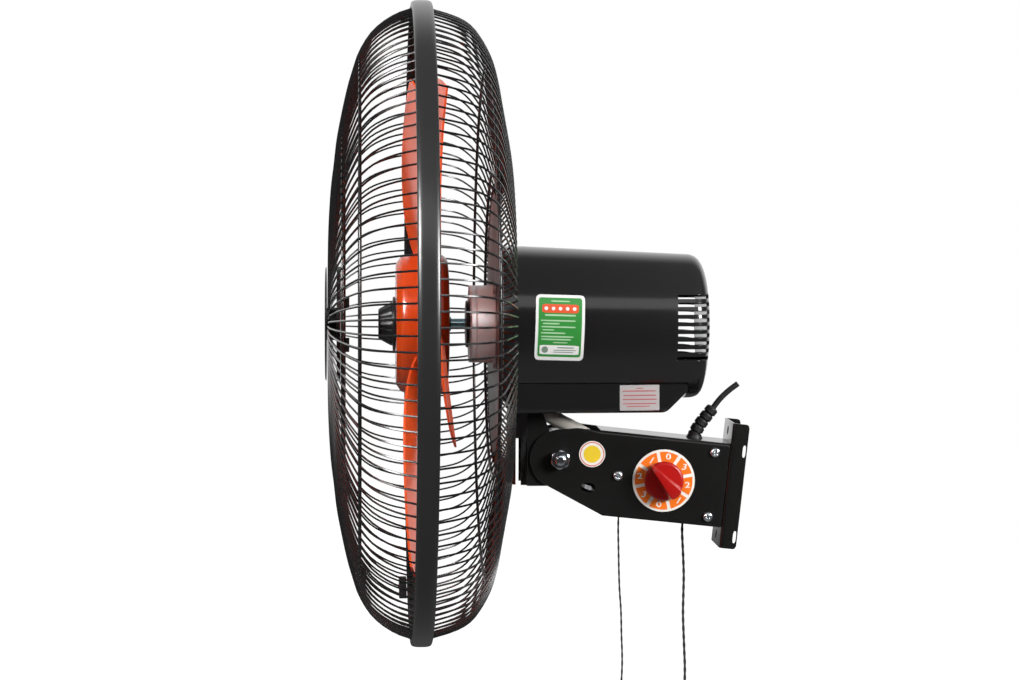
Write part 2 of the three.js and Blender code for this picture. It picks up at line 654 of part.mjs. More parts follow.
function buildGuard() {
  const [outer, inner, lip] = [guardRadius, guardRadius - bandWall, guardRadius - bandLip];
  const band = turned("y", [[outer, -bandEdge], [outer, bandEdge], [lip, bandEdge], [lip, bandEdge - bandWall],
    [inner, bandEdge - bandWall], [inner, -bandEdge + bandWall], [lip, -bandEdge + bandWall], [lip, -bandEdge]],
    [0, 0, 0], wireCount);
  addPiece(head, "guard_band", band, blackPlastic);

  const clasp = new THREE.BoxGeometry(claspLength, claspWidth, claspHeight);
  clasp.translate(0, -bandEdge - clearance - claspWidth / 2, lip + claspHeight / 2).rotateY(claspAngle * degrees);
  addPiece(head, "band_clasp", solid(clasp), blackPlastic);

  addPiece(head, "front_guard", cageSide(frontWirePath, -rimPlace), blackWire);
  addHoops("front", frontWirePath, [["outer", 3, [-1, 1]], ["inner", 4, [-0.2, 1]]]);
  addPiece(head, "rear_guard", cageSide(rearWirePath, rimPlace), blackWire);
  addHoops("rear", rearWirePath, [["outer", 3, [-1, -1]], ["inner", 5, [0, -1]]]);

  let plate = turned("y", [[rearPlateRadius, rearPlateDepth], [rearPlateRadius, rearPlateDepth + rearPlateThickness],
    [noseRadius + clearance, rearPlateDepth + rearPlateThickness], [noseRadius + clearance, rearPlateDepth]],
    [0, 0, 0], 36);
  for (let i = 0; i < 4; i++) {
    const angle = (i + 0.5) * 90 * degrees;
    const place = [guardScrewCircle * Math.sin(angle), 0, guardScrewCircle * Math.cos(angle)];
    plate = plate.subtract(rod("y", guardScrewRadius + clearance, rearPlateDepth - 1, rearPlateDepth + 3, place, 8));
    const seat = rearPlateDepth - clearance;
    const screw = rod("y", guardScrewRadius, seat - 0.5, seat + 6, place, 8)
      .add(rod("y", guardScrewHeadRadius, seat - guardScrewHeadHeight, seat, place, 12));
    addPiece(head, `guard_screw_${i + 1}`, screw, zincSteel);
  }
  addPiece(head, "guard_plate", plate, brownPlate);
}

// The badge is a bare disc in front of the spokes, held by a back plate with four lugs behind them.
function buildBadge() {
  const [ringRadius, ringAlong] = frontWirePath[frontWirePath.length - 1];
  const back = Math.min(ringAlong, frontOutline(90)[1]) - hoopWireRadius - clearance;
  const face = back - badgeThickness;
  const postRadius = Math.min(badgePostRadius, ringRadius - hoopWireRadius - 1);
  addPiece(head, "front_badge", turned("y", [[0, face], [badgeRadius - 1, face + 0.5], [badgeRadius, back], [0, back]]),
    blackPlastic);
  const plateFront = face + badgeDepth;
  let backPlate = turned("y", [[0, back + clearance], [postRadius, back + clearance], [postRadius, plateFront],
    [badgeRadius, plateFront], [badgeRadius, plateFront + badgeBackThickness], [0, plateFront + badgeBackThickness]]);
  for (let i = 0; i < 4; i++) {
    const lug = new THREE.BoxGeometry(9, 7, 3.5);
    lug.translate(0, plateFront + badgeBackThickness + 3, 22).rotateY((i + 0.5) * 90 * degrees);
    backPlate = backPlate.add(solid(lug));
  }
  addPiece(head, "badge_back_plate", backPlate, blackPlastic);
}

// ---------------------------------------------------------------- blades, shaft and spinner

// One blade as a twisted sheet: it leads at the rear, trails at the front, and its tip corners are rounded.
function bladeGeometry() {
  const [spans, chords] = [5, 6];
  const skin = (offset) => {
    const points = [];
    for (let i = 0; i <= spans; i++) {
      for (let j = 0; j <= chords; j++) {
        const [out, across] = [i / spans, (j / chords) * 2 - 1];
        const tip = bladeRadius - (across > 0 ? bladeLeadCorner : bladeTrailCorner) * Math.abs(across) ** 3;
        const radius = hubRadius - 3 + (tip - hubRadius + 3) * out;
        const span = (bladeRootSpan + (bladeTipSpan - bladeRootSpan) * Math.sin(out * Math.PI / 2)) * degrees;
        const angle = (across * span) / 2 - bladeSweep * (1 - out) * degrees;
        const leading = bladeLeadRoot + (bladeRear - bladeLeadRoot) * out ** 3;
        const trailing = bladeFront + bladeTrailRootLift * (1 - out) ** 6 + bladeTrailTipLift * out ** 4;
        const fall = (1 - bladeCurl) * across + bladeCurl * across ** 3;
        const along = (leading + trailing + (leading - trailing) * fall) / 2;
        points.push(new THREE.Vector3(radius * Math.sin(angle), along + offset, radius * Math.cos(angle)));
      }
    }
    return points;
  };
  const row = chords + 1;
  const layer = row * (spans + 1);
  const points = [...skin(-bladeThickness / 2), ...skin(bladeThickness / 2)];
  const faces = [];
  const quad = (a, b, c, d) => faces.push(a, b, c, a, c, d);
  for (let i = 0; i < spans; i++) {
    for (let j = 0; j < chords; j++) {
      const a = i * row + j;
      quad(a, a + 1, a + row + 1, a + row);
      quad(layer + a, layer + a + row, layer + a + row + 1, layer + a + 1);
    }
  }
  for (let j = 0; j < chords; j++) {
    const tip = spans * row + j;
    quad(j, layer + j, layer + j + 1, j + 1);
    quad(tip, tip + 1, layer + tip + 1, layer + tip);
  }
  for (let i = 0; i < spans; i++) {
    const a = i * row;
    const b = a + chords;
    quad(a, a + row, layer + a + row, layer + a);
    quad(b, layer + b, layer + b + row, b + row);
  }
  return new THREE.BufferGeometry().setFromPoints(points).setIndex(faces);
}

function buildBlades() {
  const bore = shaftRadius + clearance;
  let blades = turned("y", [[hubRadius - hubChamfer, hubFront], [hubRadius, hubFront + hubChamfer], [hubRadius, hubRear],
    [hubRadius - hubWall, hubRear], [hubRadius - hubWall, hubFront + hubChamfer + 1],
    [hubRadius - hubChamfer - 1, hubFront + hubWall], [hubBossRadius, hubFront + hubWall], [hubBossRadius, hubRear],
    [bore, hubRear], [bore, hubFront]]);
  const blade = bladeGeometry();
  const inside = rod("y", hubRadius - hubWall / 2, hubFront - 20, hubRear + 20, [0, 0, 0], 48);
  for (let i = 0; i < bladeCount; i++) {
    const turnedBlade = blade.clone().rotateY(bladePhase * degrees + (i / bladeCount) * 2 * Math.PI);
    blades = blades.add(solid(turnedBlade).subtract(inside));
  }
  addPiece(head, "fan_blade", blades, orangePlastic);

  const shoulder = hubRear + clearance;
  const shaftEnd = statorFront + statorLength + rearWebBehindStator + 12;
  const shaft = rod("y", shaftRadius, hubFront - shaftNoseLength, shaftEnd, [0, 0, 0], 24)
    .add(rod("y", shaftShoulderRadius, shoulder, shoulder + shaftShoulderLength));
  addPiece(head, "motor_shaft", shaft, zincSteel);

  const spinnerBack = hubFront - clearance;
  const spinnerTip = spinnerBack - spinnerLength;
  const flange = spinnerBack - spinnerFlangeThickness;
  const boreEnd = hubFront - shaftNoseLength - clearance;
  addPiece(head, "spinner", turned("y", [[0, spinnerTip], [spinnerTipRadius, spinnerTip], [spinnerRadius, flange],
    [spinnerFlangeRadius, flange], [spinnerFlangeRadius, spinnerBack], [bore, spinnerBack], [bore, boreEnd],
    [0, boreEnd]]), blackPlastic);

  const slingerBack = noseFront - 0.5;
  addPiece(head, "slinger", turned("y", [[slingerRadius, slingerBack - slingerThickness], [slingerRadius, slingerBack],
    [bore, slingerBack], [bore, slingerBack - slingerThickness]]), blackPlastic);
  addPiece(head, "rotor_core", turned("y", [[rotorRadius, statorFront + 1], [rotorRadius, statorFront + statorLength - 1],
    [bore, statorFront + statorLength - 1], [bore, statorFront + 1]]), siliconSteel);
}

// ---------------------------------------------------------------- motor

const flangeFront = rearPlateDepth + rearPlateThickness + clearance;
const coverInside = coverRadius - coverWall;
const seatRadius = bearingRadius + clearance;
const statorEnd = statorFront + statorLength;
const rearWeb = statorEnd + rearWebBehindStator;

function buildMotor() {
  const flangeRadius = coverInside - 2 * clearance;
  const flangeBack = flangeFront + flangeThickness;
  const skirt = statorRadius + clearance;
  const bearingFront = noseFront + 4;
  let bell = turned("y", [[noseRadius, noseFront], [noseRadius, flangeFront],
    [flangeRadius, flangeFront], [flangeRadius, flangeBack], [skirt + bellWall, flangeBack],
    [skirt + bellWall, statorFront + statorSeat], [skirt, statorFront + statorSeat], [skirt, flangeBack + 3],
    [seatRadius, flangeBack + 3], [seatRadius, bearingFront],
    [shaftRadius + 1, bearingFront], [shaftRadius + 1, noseFront]]);
  for (let i = 0; i < 4; i++) {
    const angle = (i + 0.5) * 90 * degrees;
    bell = bell.subtract(rod("y", guardScrewRadius + clearance, flangeFront - 1, flangeBack + 4,
      [guardScrewCircle * Math.sin(angle), 0, guardScrewCircle * Math.cos(angle)], 8));
  }
  addPiece(head, "front_bell", bell, castAluminium);

  addPiece(head, "rear_bell", turned("y", [[skirt + bellWall, statorEnd - statorSeat], [skirt + bellWall, rearWeb + 4],
    [seatRadius + bearingSeatWall, rearWeb + 4], [seatRadius + bearingSeatWall, rearWeb + 4 + bearingWidth + 2],
    [seatRadius, rearWeb + 4 + bearingWidth + 2], [seatRadius, rearWeb], [skirt, rearWeb], [skirt, statorEnd - statorSeat]]),
    castAluminium);

  addPiece(head, "stator_core", turned("y", [[statorRadius, statorFront], [statorRadius, statorEnd],
    [statorBore, statorEnd], [statorBore, statorFront]]), siliconSteel);
  const winding = (start, end) => turned("y", [[windingOuter, start + 2], [windingOuter, end - 2], [windingOuter - 2, end],
    [windingInner + 2, end], [windingInner, end - 2], [windingInner, start + 2], [windingInner + 2, start],
    [windingOuter - 2, start]], [0, 0, 0], 16);
  addPiece(head, "winding_front", winding(statorFront - clearance - windingLength, statorFront - clearance), copper);
  addPiece(head, "winding_rear", winding(statorEnd + clearance, statorEnd + clearance + windingLength), copper);

  const bearing = (start) => turned("y", [[bearingRadius, start], [bearingRadius, start + bearingWidth],
    [shaftRadius + 0.15, start + bearingWidth], [shaftRadius + 0.15, start]]);
  addPiece(head, "bearing_front", bearing(bearingFront + clearance), zincSteel);
  addPiece(head, "bearing_rear", bearing(rearWeb + 2), zincSteel);

  const capacitorFront = rearWeb + 4 + clearance;
  const capacitorBottom = seatRadius + bearingSeatWall + 1;
  addPiece(head, "capacitor", block([-capacitorWidth / 2, capacitorWidth / 2],
    [capacitorFront, capacitorFront + capacitorLength], [capacitorBottom, capacitorBottom + capacitorHeight]),
    whitePlastic);
}

// ---------------------------------------------------------------- motor cover and bottom pan

function coverBody(inset, front) {
  return turned("y", [[0, front], [coverRadius - inset, front], [coverRadius - inset, coverStraight],
    [coverRearRadius - inset, coverRearEdge], [coverRearRadius - 3.5 - inset, coverEnd - 3.5 - inset],
    [coverRearRadius - 12 - inset, coverEnd - 0.7 - inset], [0, coverEnd - inset]], [0, 0, 0], 32);
}

// The pan's block is cut to its side outline and then to its plan, which narrows to the rear.
function panBody(inset) {
  const [front, bottom, end] = [panFront + inset, panBottom + inset, panEnd - inset];
  const top = coverSplit - clearance + (inset ? 5 : 0);
  const side = sidePlate(outline([[front, top], [front, bottom + 2], [front + 2, bottom],
    [panLevelEnd - inset, bottom], [end, panHeel], [end, top]]), -beyond, beyond);
  const plan = new THREE.ExtrudeGeometry(outline([[-panHalfWidth + inset, front], [panHalfWidth - inset, front],
    [panRearHalfWidth - inset, end], [-panRearHalfWidth + inset, end]]), { depth: beyond, bevelEnabled: false });
  return side.intersect(solid(plan.translate(0, 0, -beyond)));
}

function buildCover() {
  const front = flangeFront + clearance;
  let cover = coverBody(0, front).subtract(coverBody(coverWall, front - 1));
  cover = cover.subtract(block([-beyond, beyond], [panFront - clearance, panEnd + clearance], [-beyond, coverSplit]));
  for (let i = 0; i < ventCount; i++) {
    const z = ventTop - i * ventPitch;
    for (const side of [-1, 1]) {
      const [inner, outer] = [side * ventReach, side * beyond].sort((a, b) => a - b);
      cover = cover.subtract(block([inner, outer], [ventFront, coverEnd + 1], [z - ventHeight / 2, z + ventHeight / 2]));
    }
  }
  addPiece(head, "motor_cover", cover, blackPlastic);

  const socketHole = rod("z", socketRadius + clearance, panBottom - 1, panBottom + 3, [0, swingBehindGuard, 0]);
  const bellRoom = rod("y", statorRadius + bellWall + 3 * clearance, panFront - 1, panEnd + 1, [0, 0, 0], 24);
  addPiece(head, "bottom_pan", panBody(0).subtract(panBody(coverWall)).subtract(socketHole).subtract(bellRoom),
    blackPlastic);
}

// The swing drive lies in the pan: a small geared motor turns the crank, and the link works the spindle's lever.
function buildSwingDrive() {
  const bore = swingSpindleRadius + 0.25;
  addPiece(head, "swing_socket", turned("z", [[socketRadius, panBottom], [socketRadius, panBottom + socketHeight],
    [bore, panBottom + socketHeight], [bore, panBottom]], [0, swingBehindGuard, 0]), zincSteel);

  const floor = panBottom + coverWall + clearance;
  const motorTop = floor + swingMotorHeight;
  const place = [0, crankBehindGuard, 0];
  addPiece(head, "swing_motor", rod("z", swingMotorRadius, floor, motorTop, place, 24), zincSteel);
  addPiece(head, "swing_crank", rod("z", crankRadius, motorTop + clearance, motorTop + clearance + crankThickness, place),
    whitePlastic);
  const linkBottom = leverBottom + leverThickness + clearance;
  addPiece(head, "swing_link", block([-linkWidth / 2, linkWidth / 2],
    [swingBehindGuard + leverLength - 7, crankBehindGuard - crankRadius - clearance],
    [linkBottom, linkBottom + linkThickness]), zincSteel);
}

// ---------------------------------------------------------------- assembly

buildWallPlate();
buildArm();
buildTiltBolt();
buildSwitches();
buildKnob();
buildPullCord("speed", speedCordBehindBolt, speedCordDiameter, speedCordRoute);
buildPullCord("swing", swingCordBehindBolt, swingCordDiameter, swingCordRoute);
buildMainsCord();
buildNeck();
buildGuard();
buildBadge();
buildBlades();
buildMotor();
buildCover();
buildSwingDrive();

export default fan;
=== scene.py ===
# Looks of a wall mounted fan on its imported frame. Metres, +Z up, +Y into the wall, the speed dial on the +X side.
import math
import bmesh
import bpy
import numpy as np
from mathutils import Matrix, Vector


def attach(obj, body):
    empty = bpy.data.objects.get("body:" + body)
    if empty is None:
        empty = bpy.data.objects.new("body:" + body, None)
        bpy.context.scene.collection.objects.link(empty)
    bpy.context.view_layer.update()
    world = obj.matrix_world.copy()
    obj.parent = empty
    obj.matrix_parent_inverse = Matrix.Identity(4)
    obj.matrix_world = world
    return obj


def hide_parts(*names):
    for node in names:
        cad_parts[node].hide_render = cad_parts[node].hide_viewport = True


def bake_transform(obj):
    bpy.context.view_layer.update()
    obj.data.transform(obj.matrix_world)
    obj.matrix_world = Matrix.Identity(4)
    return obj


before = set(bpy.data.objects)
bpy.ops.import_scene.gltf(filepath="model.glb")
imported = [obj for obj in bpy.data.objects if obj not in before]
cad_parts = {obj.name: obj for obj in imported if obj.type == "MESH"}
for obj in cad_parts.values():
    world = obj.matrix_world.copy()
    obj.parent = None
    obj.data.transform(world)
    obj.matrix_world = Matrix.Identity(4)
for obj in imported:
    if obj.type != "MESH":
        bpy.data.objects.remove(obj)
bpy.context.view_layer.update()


# ---------------------------------------------------------------- camera
# The photograph looks along the wall at the dial side of the fan, from a little in front of the motor and above it. The
# head stands level in the picture, so the camera leans with it by the 6 degrees of the tilt.

camera = bpy.data.objects.new("camera", bpy.data.cameras.new("camera"))
camera.data.lens = 89.3
camera.data.sensor_width = 36
camera.data.clip_start = 0.05
camera.matrix_world = Matrix(((0.06092, -0.06453, 0.99605, 1.8575), (0.99225, -0.10431, -0.06745, -0.3066),
                              (0.10825, 0.99245, 0.05768, 0.1963), (0.0, 0.0, 0.0, 1.0)))
bpy.context.scene.collection.objects.link(camera)
bpy.context.scene.camera = camera


# ---------------------------------------------------------------- pull cords
# Two black twisted cords hang from the sliders in the arm, the thin one for the swing and the thick one for the speed.
# Each is two strands laid round each other, and ends in a moulded grip that is pushed over its knot.

def add_node(tree, kind, values=(), **settings):
    """Adds a shader node. The values go to its inputs by number or name, and a socket among them is linked."""
    made = tree.nodes.new(kind)
    for key, value in settings.items():
        setattr(made, key, value)
    for key, value in (values.items() if isinstance(values, dict) else enumerate(values)):
        if isinstance(value, bpy.types.NodeSocket):
            tree.links.new(value, made.inputs[key])
        else:
            made.inputs[key].default_value = value
    return made


def shader_group(name, inputs, outputs):
    """An empty node group with named inputs and outputs. Returns its tree, its inner sources and its inner targets."""
    tree = bpy.data.node_groups.new(name, "ShaderNodeTree")
    for label, value in inputs.items():
        kind = {1: "NodeSocketFloat", 3: "NodeSocketVector", 4: "NodeSocketColor"}[np.size(value)]
        tree.interface.new_socket(label, in_out="INPUT", socket_type=kind).default_value = value
    for label, kind in outputs.items():
        tree.interface.new_socket(label, in_out="OUTPUT", socket_type="NodeSocket" + kind)
    return tree, tree.nodes.new("NodeGroupInput").outputs, tree.nodes.new("NodeGroupOutput").inputs


def new_material(name, **values):
    """A material with a Principled shader, whose own sockets take the plain numbers and colours."""
    material = bpy.data.materials.new(name)
    material.use_nodes = True
    shader = material.node_tree.nodes["Principled BSDF"]
    for label, value in values.items():
        shader.inputs[label.replace("_", " ")].default_value = value
    return material, material.node_tree, shader


def feed(tree, shader, height, depth, strength, **sockets):
    """Links sockets to a shader's inputs by name, and a height through a Bump node to its normal."""
    for label, socket in sockets.items():
        tree.links.new(socket, shader.inputs[label.replace("_", " ")])
    bump = add_node(tree, "ShaderNodeBump", {"Strength": strength, "Distance": depth, "Height": height})
    tree.links.new(bump.outputs["Normal"], shader.inputs["Normal"])


def grid_faces(rows, columns, rows_close=False, columns_close=False):
    """Quads between the neighbours of a grid, point = row * columns + column. A closing side joins last to first."""
    i, j = np.meshgrid(np.arange(rows - (not rows_close)), np.arange(columns - (not columns_close)), indexing="ij")
    k, m = (i + 1) % rows, (j + 1) % columns
    return np.stack([i * columns + j, k * columns + j, k * columns + m, i * columns + m], axis=-1).reshape(-1, 4)


def make_piece(name, points, faces, body, slot, material, wall=0.0, crease=35, straight=None):
    """A piece from its points in metres and its faces. Doubles are merged and normals turned outwards, and only then
    a wall gets its thickness, inwards. straight keeps where each point lies on the piece before it was bent."""
    mesh = bpy.data.meshes.new(name)
    mesh.from_pydata(np.reshape(points, (-1, 3)), [], faces)
    if straight is not None:
        mesh.attributes.new("straight", "FLOAT_VECTOR", "POINT").data.foreach_set("vector", np.ravel(straight))
    shape = bmesh.new()
    shape.from_mesh(mesh)
    bmesh.ops.remove_doubles(shape, verts=shape.verts, dist=1e-6)
    bmesh.ops.recalc_face_normals(shape, faces=shape.faces)
    if wall:
        middle = sum((v.co for v in shape.verts), start=shape.verts[:][0].co * 0) / len(shape.verts)
        if sum(f.normal.dot(f.calc_center_median() - middle) * f.calc_area() for f in shape.faces) < 0:
            bmesh.ops.reverse_faces(shape, faces=shape.faces)
    shape.to_mesh(mesh)
    shape.free()
    mesh.shade_smooth()
    mesh.set_sharp_from_angle(angle=math.radians(crease))
    mesh.materials.append(material)
    piece = bpy.data.objects.new(name, mesh)
    bpy.context.scene.collection.objects.link(piece)
    if wall:
        thick = piece.modifiers.new("wall", "SOLIDIFY")
        thick.thickness, thick.offset = wall, -1
    if body:
        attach(piece, body)
    return piece


def smooth_path(points, count):
    """Catmull-Rom curve through the points, then taken at count places evenly spaced by length."""
    p = np.asarray(points, float)
    p = np.vstack([2 * p[0] - p[1], p, 2 * p[-1] - p[-2]])
    t = np.linspace(0, 1, 24, endpoint=False)[:, None]
    parts = [0.5 * (2 * b + (c - a) * t + (2 * a - 5 * b + 4 * c - d) * t ** 2 + (3 * b - a - 3 * c + d) * t ** 3)
             for a, b, c, d in zip(p[:-3], p[1:-2], p[2:-1], p[3:])]
    fine = np.vstack(parts + [p[-2:-1]])
    length = np.concatenate([[0], np.cumsum(np.linalg.norm(np.diff(fine, axis=0), axis=1))])
    return np.stack([np.interp(np.linspace(0, length[-1], count), length, axis) for axis in fine.T], axis=1)


def carried(path, section):
    """A section of (side, lift) offsets carried along a path: place + side * across + lift * normal, with
    across = unit(tangent x X) and normal = across x tangent. The first and last rows close on the path itself."""
    tangent = np.gradient(path, axis=0)
    tangent /= np.linalg.norm(tangent, axis=1, keepdims=True)
    across = np.cross(tangent, (1, 0, 0))
    across /= np.linalg.norm(across, axis=1, keepdims=True)
    normal = np.cross(across, tangent)
    rows = path[:, None] + section[..., 0:1] * across[:, None] + section[..., 1:2] * normal[:, None]
    ends = np.repeat(path[[0, -1], None], rows.shape[1], axis=1)
    return np.concatenate([ends[:1], rows, ends[1:]])


def laid_strands(count, sides, radius, strands, pitch, step):
    """Sections of a twisted cord: radius * (1 + 0.14 cos(strands * angle - turn)), turn growing by pitch."""
    angle = np.linspace(0, 2 * np.pi, sides, endpoint=False)[None]
    turn = (np.arange(count) * step / pitch * 2 * np.pi)[:, None]
    r = radius * (1.0 + 0.14 * np.cos(strands * angle - turn))
    return np.stack([r * np.cos(angle), r * np.sin(angle)], axis=-1)


def revolved(profile, steps, axis, centre=(0, 0, 0)):
    """Pairs (radius, place) carried round an axis: two coordinates are r sin(a) and r cos(a), the third the place."""
    r, place = np.array(profile, float).T
    angle = np.linspace(0, 2 * np.pi, steps, endpoint=False)
    a, b, c = np.outer(r, np.sin(angle)), np.outer(r, np.cos(angle)), np.outer(place, np.ones(steps))
    order = {"x": (c, a, b), "y": (a, c, b), "z": (a, b, c)}[axis]
    return np.stack(order, axis=-1) + np.array(centre)


def rounded(profile, radius, closed=False):
    """A profile with each corner p replaced by a parabola (1-t)^2 a + 2t(1-t) p + t^2 b, a and b being the places at
    radius, or at 0.45 of the side where that is less, before and after it."""
    p = np.array(profile, float)
    before, after = np.roll(p, 1, axis=0), np.roll(p, -1, axis=0)
    reach_in = np.minimum(radius / (np.linalg.norm(before - p, axis=1) + 1e-9), 0.45)[:, None]
    reach_out = np.minimum(radius / (np.linalg.norm(after - p, axis=1) + 1e-9), 0.45)[:, None]
    a, b = p + (before - p) * reach_in, p + (after - p) * reach_out
    t = np.array([0, 0.25, 0.5, 0.75, 1])[None, :, None]
    corners = (1 - t) ** 2 * a[:, None] + 2 * t * (1 - t) * p[:, None] + t ** 2 * b[:, None]
    if closed:
        return corners.reshape(-1, 2)
    return np.vstack([p[:1], corners[1:-1].reshape(-1, 2), p[-1:]])


def turned_piece(name, profile, body, slot, material, axis="z", centre=(0, 0, 0), steps=48, soft=0.0006, place=None,
                 ring=False, crease=35):
    """A turned piece: its profile's corners are rounded by soft, and it closes on the axis, or on itself as a ring.
    Where place is given, it turns the three coordinates into places in the frame."""
    shape = rounded(profile, soft, closed=ring) if soft else np.array(profile, float)
    points = revolved(shape, steps, axis, centre)
    if place is not None:
        points = place(*np.moveaxis(points, -1, 0))
    faces = grid_faces(len(shape), steps, rows_close=ring, columns_close=True)
    return make_piece(name, points, faces, body, slot, material, crease=crease)


def tube_piece(name, line, section, body, slot, material, **options):
    """A closed tube: one section, or one for each place, carried along a line."""
    points = carried(line, section)
    faces = grid_faces(len(points), points.shape[1], columns_close=True)
    return make_piece(name, points, faces, body, slot, material, **options)


def finish_node(node, material):
    """Gives its material to a solid of the frame that is shown as it is."""
    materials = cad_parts[node].data.materials
    materials.clear()
    materials.append(material)


# Moulded or painted surface: clouds change the tone and the roughness a little, and a fine grain gives the height.
surface_tree, given, result = shader_group(
    "even surface", {"Color": (0.5, 0.5, 0.5, 1), "Mottle": 0.1, "Cloud Size": 0.03, "Grain Size": 0.0008,
                     "Roughness": 0.3, "Roughness Spread": 0.1},
    {"Color": "Color", "Roughness": "Float", "Height": "Float"})
on_object = add_node(surface_tree, "ShaderNodeTexCoord").outputs["Object"]
cloud_scale = add_node(surface_tree, "ShaderNodeMath", [1.0, given["Cloud Size"]], operation="DIVIDE").outputs[0]
grain_scale = add_node(surface_tree, "ShaderNodeMath", [1.0, given["Grain Size"]], operation="DIVIDE").outputs[0]
clouds = add_node(surface_tree, "ShaderNodeTexNoise", {"Vector": on_object, "Scale": cloud_scale, "Detail": 4.0})
grain = add_node(surface_tree, "ShaderNodeTexNoise", {"Vector": on_object, "Scale": grain_scale, "Detail": 2.0})
centred = add_node(surface_tree, "ShaderNodeMath", [clouds.outputs[0], 0.5], operation="SUBTRACT").outputs[0]
tone = add_node(surface_tree, "ShaderNodeMath", [centred, given["Mottle"], 1.0], operation="MULTIPLY_ADD").outputs[0]
tinted = add_node(surface_tree, "ShaderNodeVectorMath", {0: given["Color"], "Scale": tone}, operation="SCALE")
uneven = add_node(surface_tree, "ShaderNodeMath", [centred, given["Roughness Spread"], given["Roughness"]],
                  operation="MULTIPLY_ADD").outputs[0]
for source, target in ((tinted.outputs[0], "Color"), (uneven, "Roughness"), (grain.outputs[0], "Height")):
    surface_tree.links.new(source, result[target])


def even_surface(name, color, roughness=0.3, spread=0.1, mottle=0.1, cloud=0.03, grain=0.0008, depth=0.00002,
                 strength=0.2, **values):
    """A material whose tone, roughness and fine height come from the even surface group."""
    material, tree, shader = new_material(name, **values)
    group = add_node(tree, "ShaderNodeGroup", {
        "Color": (*color, 1), "Mottle": mottle, "Cloud Size": cloud, "Grain Size": grain, "Roughness": roughness,
        "Roughness Spread": spread}, node_tree=surface_tree)
    feed(tree, shader, group.outputs["Height"], depth, strength, Base_Color=group.outputs["Color"],
         Roughness=group.outputs["Roughness"])
    return material


def woven_cord(name, color, strands, pitch):
    """Twisted yarn: a wave that winds with the strands paints shade into the valleys between them, and fine fibres run
    along them.
    """
    material, tree, shader = new_material(name, Roughness=0.85, Sheen_Weight=0.25, Sheen_Roughness=0.5)
    straight = add_node(tree, "ShaderNodeAttribute", attribute_name="straight").outputs["Vector"]
    x, y, along = add_node(tree, "ShaderNodeSeparateXYZ", [straight]).outputs
    angle = add_node(tree, "ShaderNodeMath", [y, x], operation="ARCTAN2").outputs[0]
    turn = add_node(tree, "ShaderNodeMath", [along, 2 * math.pi / pitch], operation="MULTIPLY").outputs[0]
    back = add_node(tree, "ShaderNodeMath", [turn, -1.0], operation="MULTIPLY").outputs[0]
    wound = add_node(tree, "ShaderNodeMath", [angle, float(strands), back], operation="MULTIPLY_ADD").outputs[0]
    crest = add_node(tree, "ShaderNodeMath", [wound], operation="COSINE").outputs[0]
    fibres = add_node(tree, "ShaderNodeTexNoise", {"Vector": straight, "Scale": 9000.0, "Detail": 2.0}).outputs[0]
    # Painted shade: the colour is darkest in the valleys between the strands and lightest on their crests; the fibre
    # noise adds real tone.
    tone = add_node(tree, "ShaderNodeMath", [crest, 0.35, fibres], operation="MULTIPLY_ADD").outputs[0]
    valley_shade_ramp = add_node(tree, "ShaderNodeValToRGB", [tone])
    valley_shade_ramp.color_ramp.elements[0].color = (*(0.35 * c for c in color), 1)
    valley_shade_ramp.color_ramp.elements[1].color = (*(1.6 * c for c in color), 1)
    feed(tree, shader, tone, 0.0001, 0.5, Base_Color=valley_shade_ramp.outputs["Color"])
    return material


strands, lay_pitch, cord_sides = 2, 0.0062, 10
black_yarn = woven_cord("black_yarn", (0.012, 0.012, 0.013), strands, lay_pitch)
grip_plastic = even_surface("grip_plastic", (0.014, 0.014, 0.015), roughness=0.38, grain=0.0005, strength=0.3)
sleeve_white = even_surface("sleeve_white", (0.72, 0.69, 0.64), roughness=0.45, mottle=0.05)

# Each cord's sway towards the wall and its height, in millimetres.
swing_route = [(0, -7.3), (0, -25), (0.3, -38), (3.0, -60), (6.4, -85), (9.6, -103), (12.0, -121), (14.2, -136),
               (15.6, -151), (16.4, -172), (16.2, -195), (15.8, -216), (15.6, -237)]
speed_route = [(0, -7.3), (0, -25), (0.3, -38), (2.9, -55), (5.4, -72), (6.9, -88), (8.4, -103), (12.0, -127),
               (14.2, -142), (15.6, -158), (15.9, -175), (15.4, -195), (15.8, -216), (15.5, -237)]

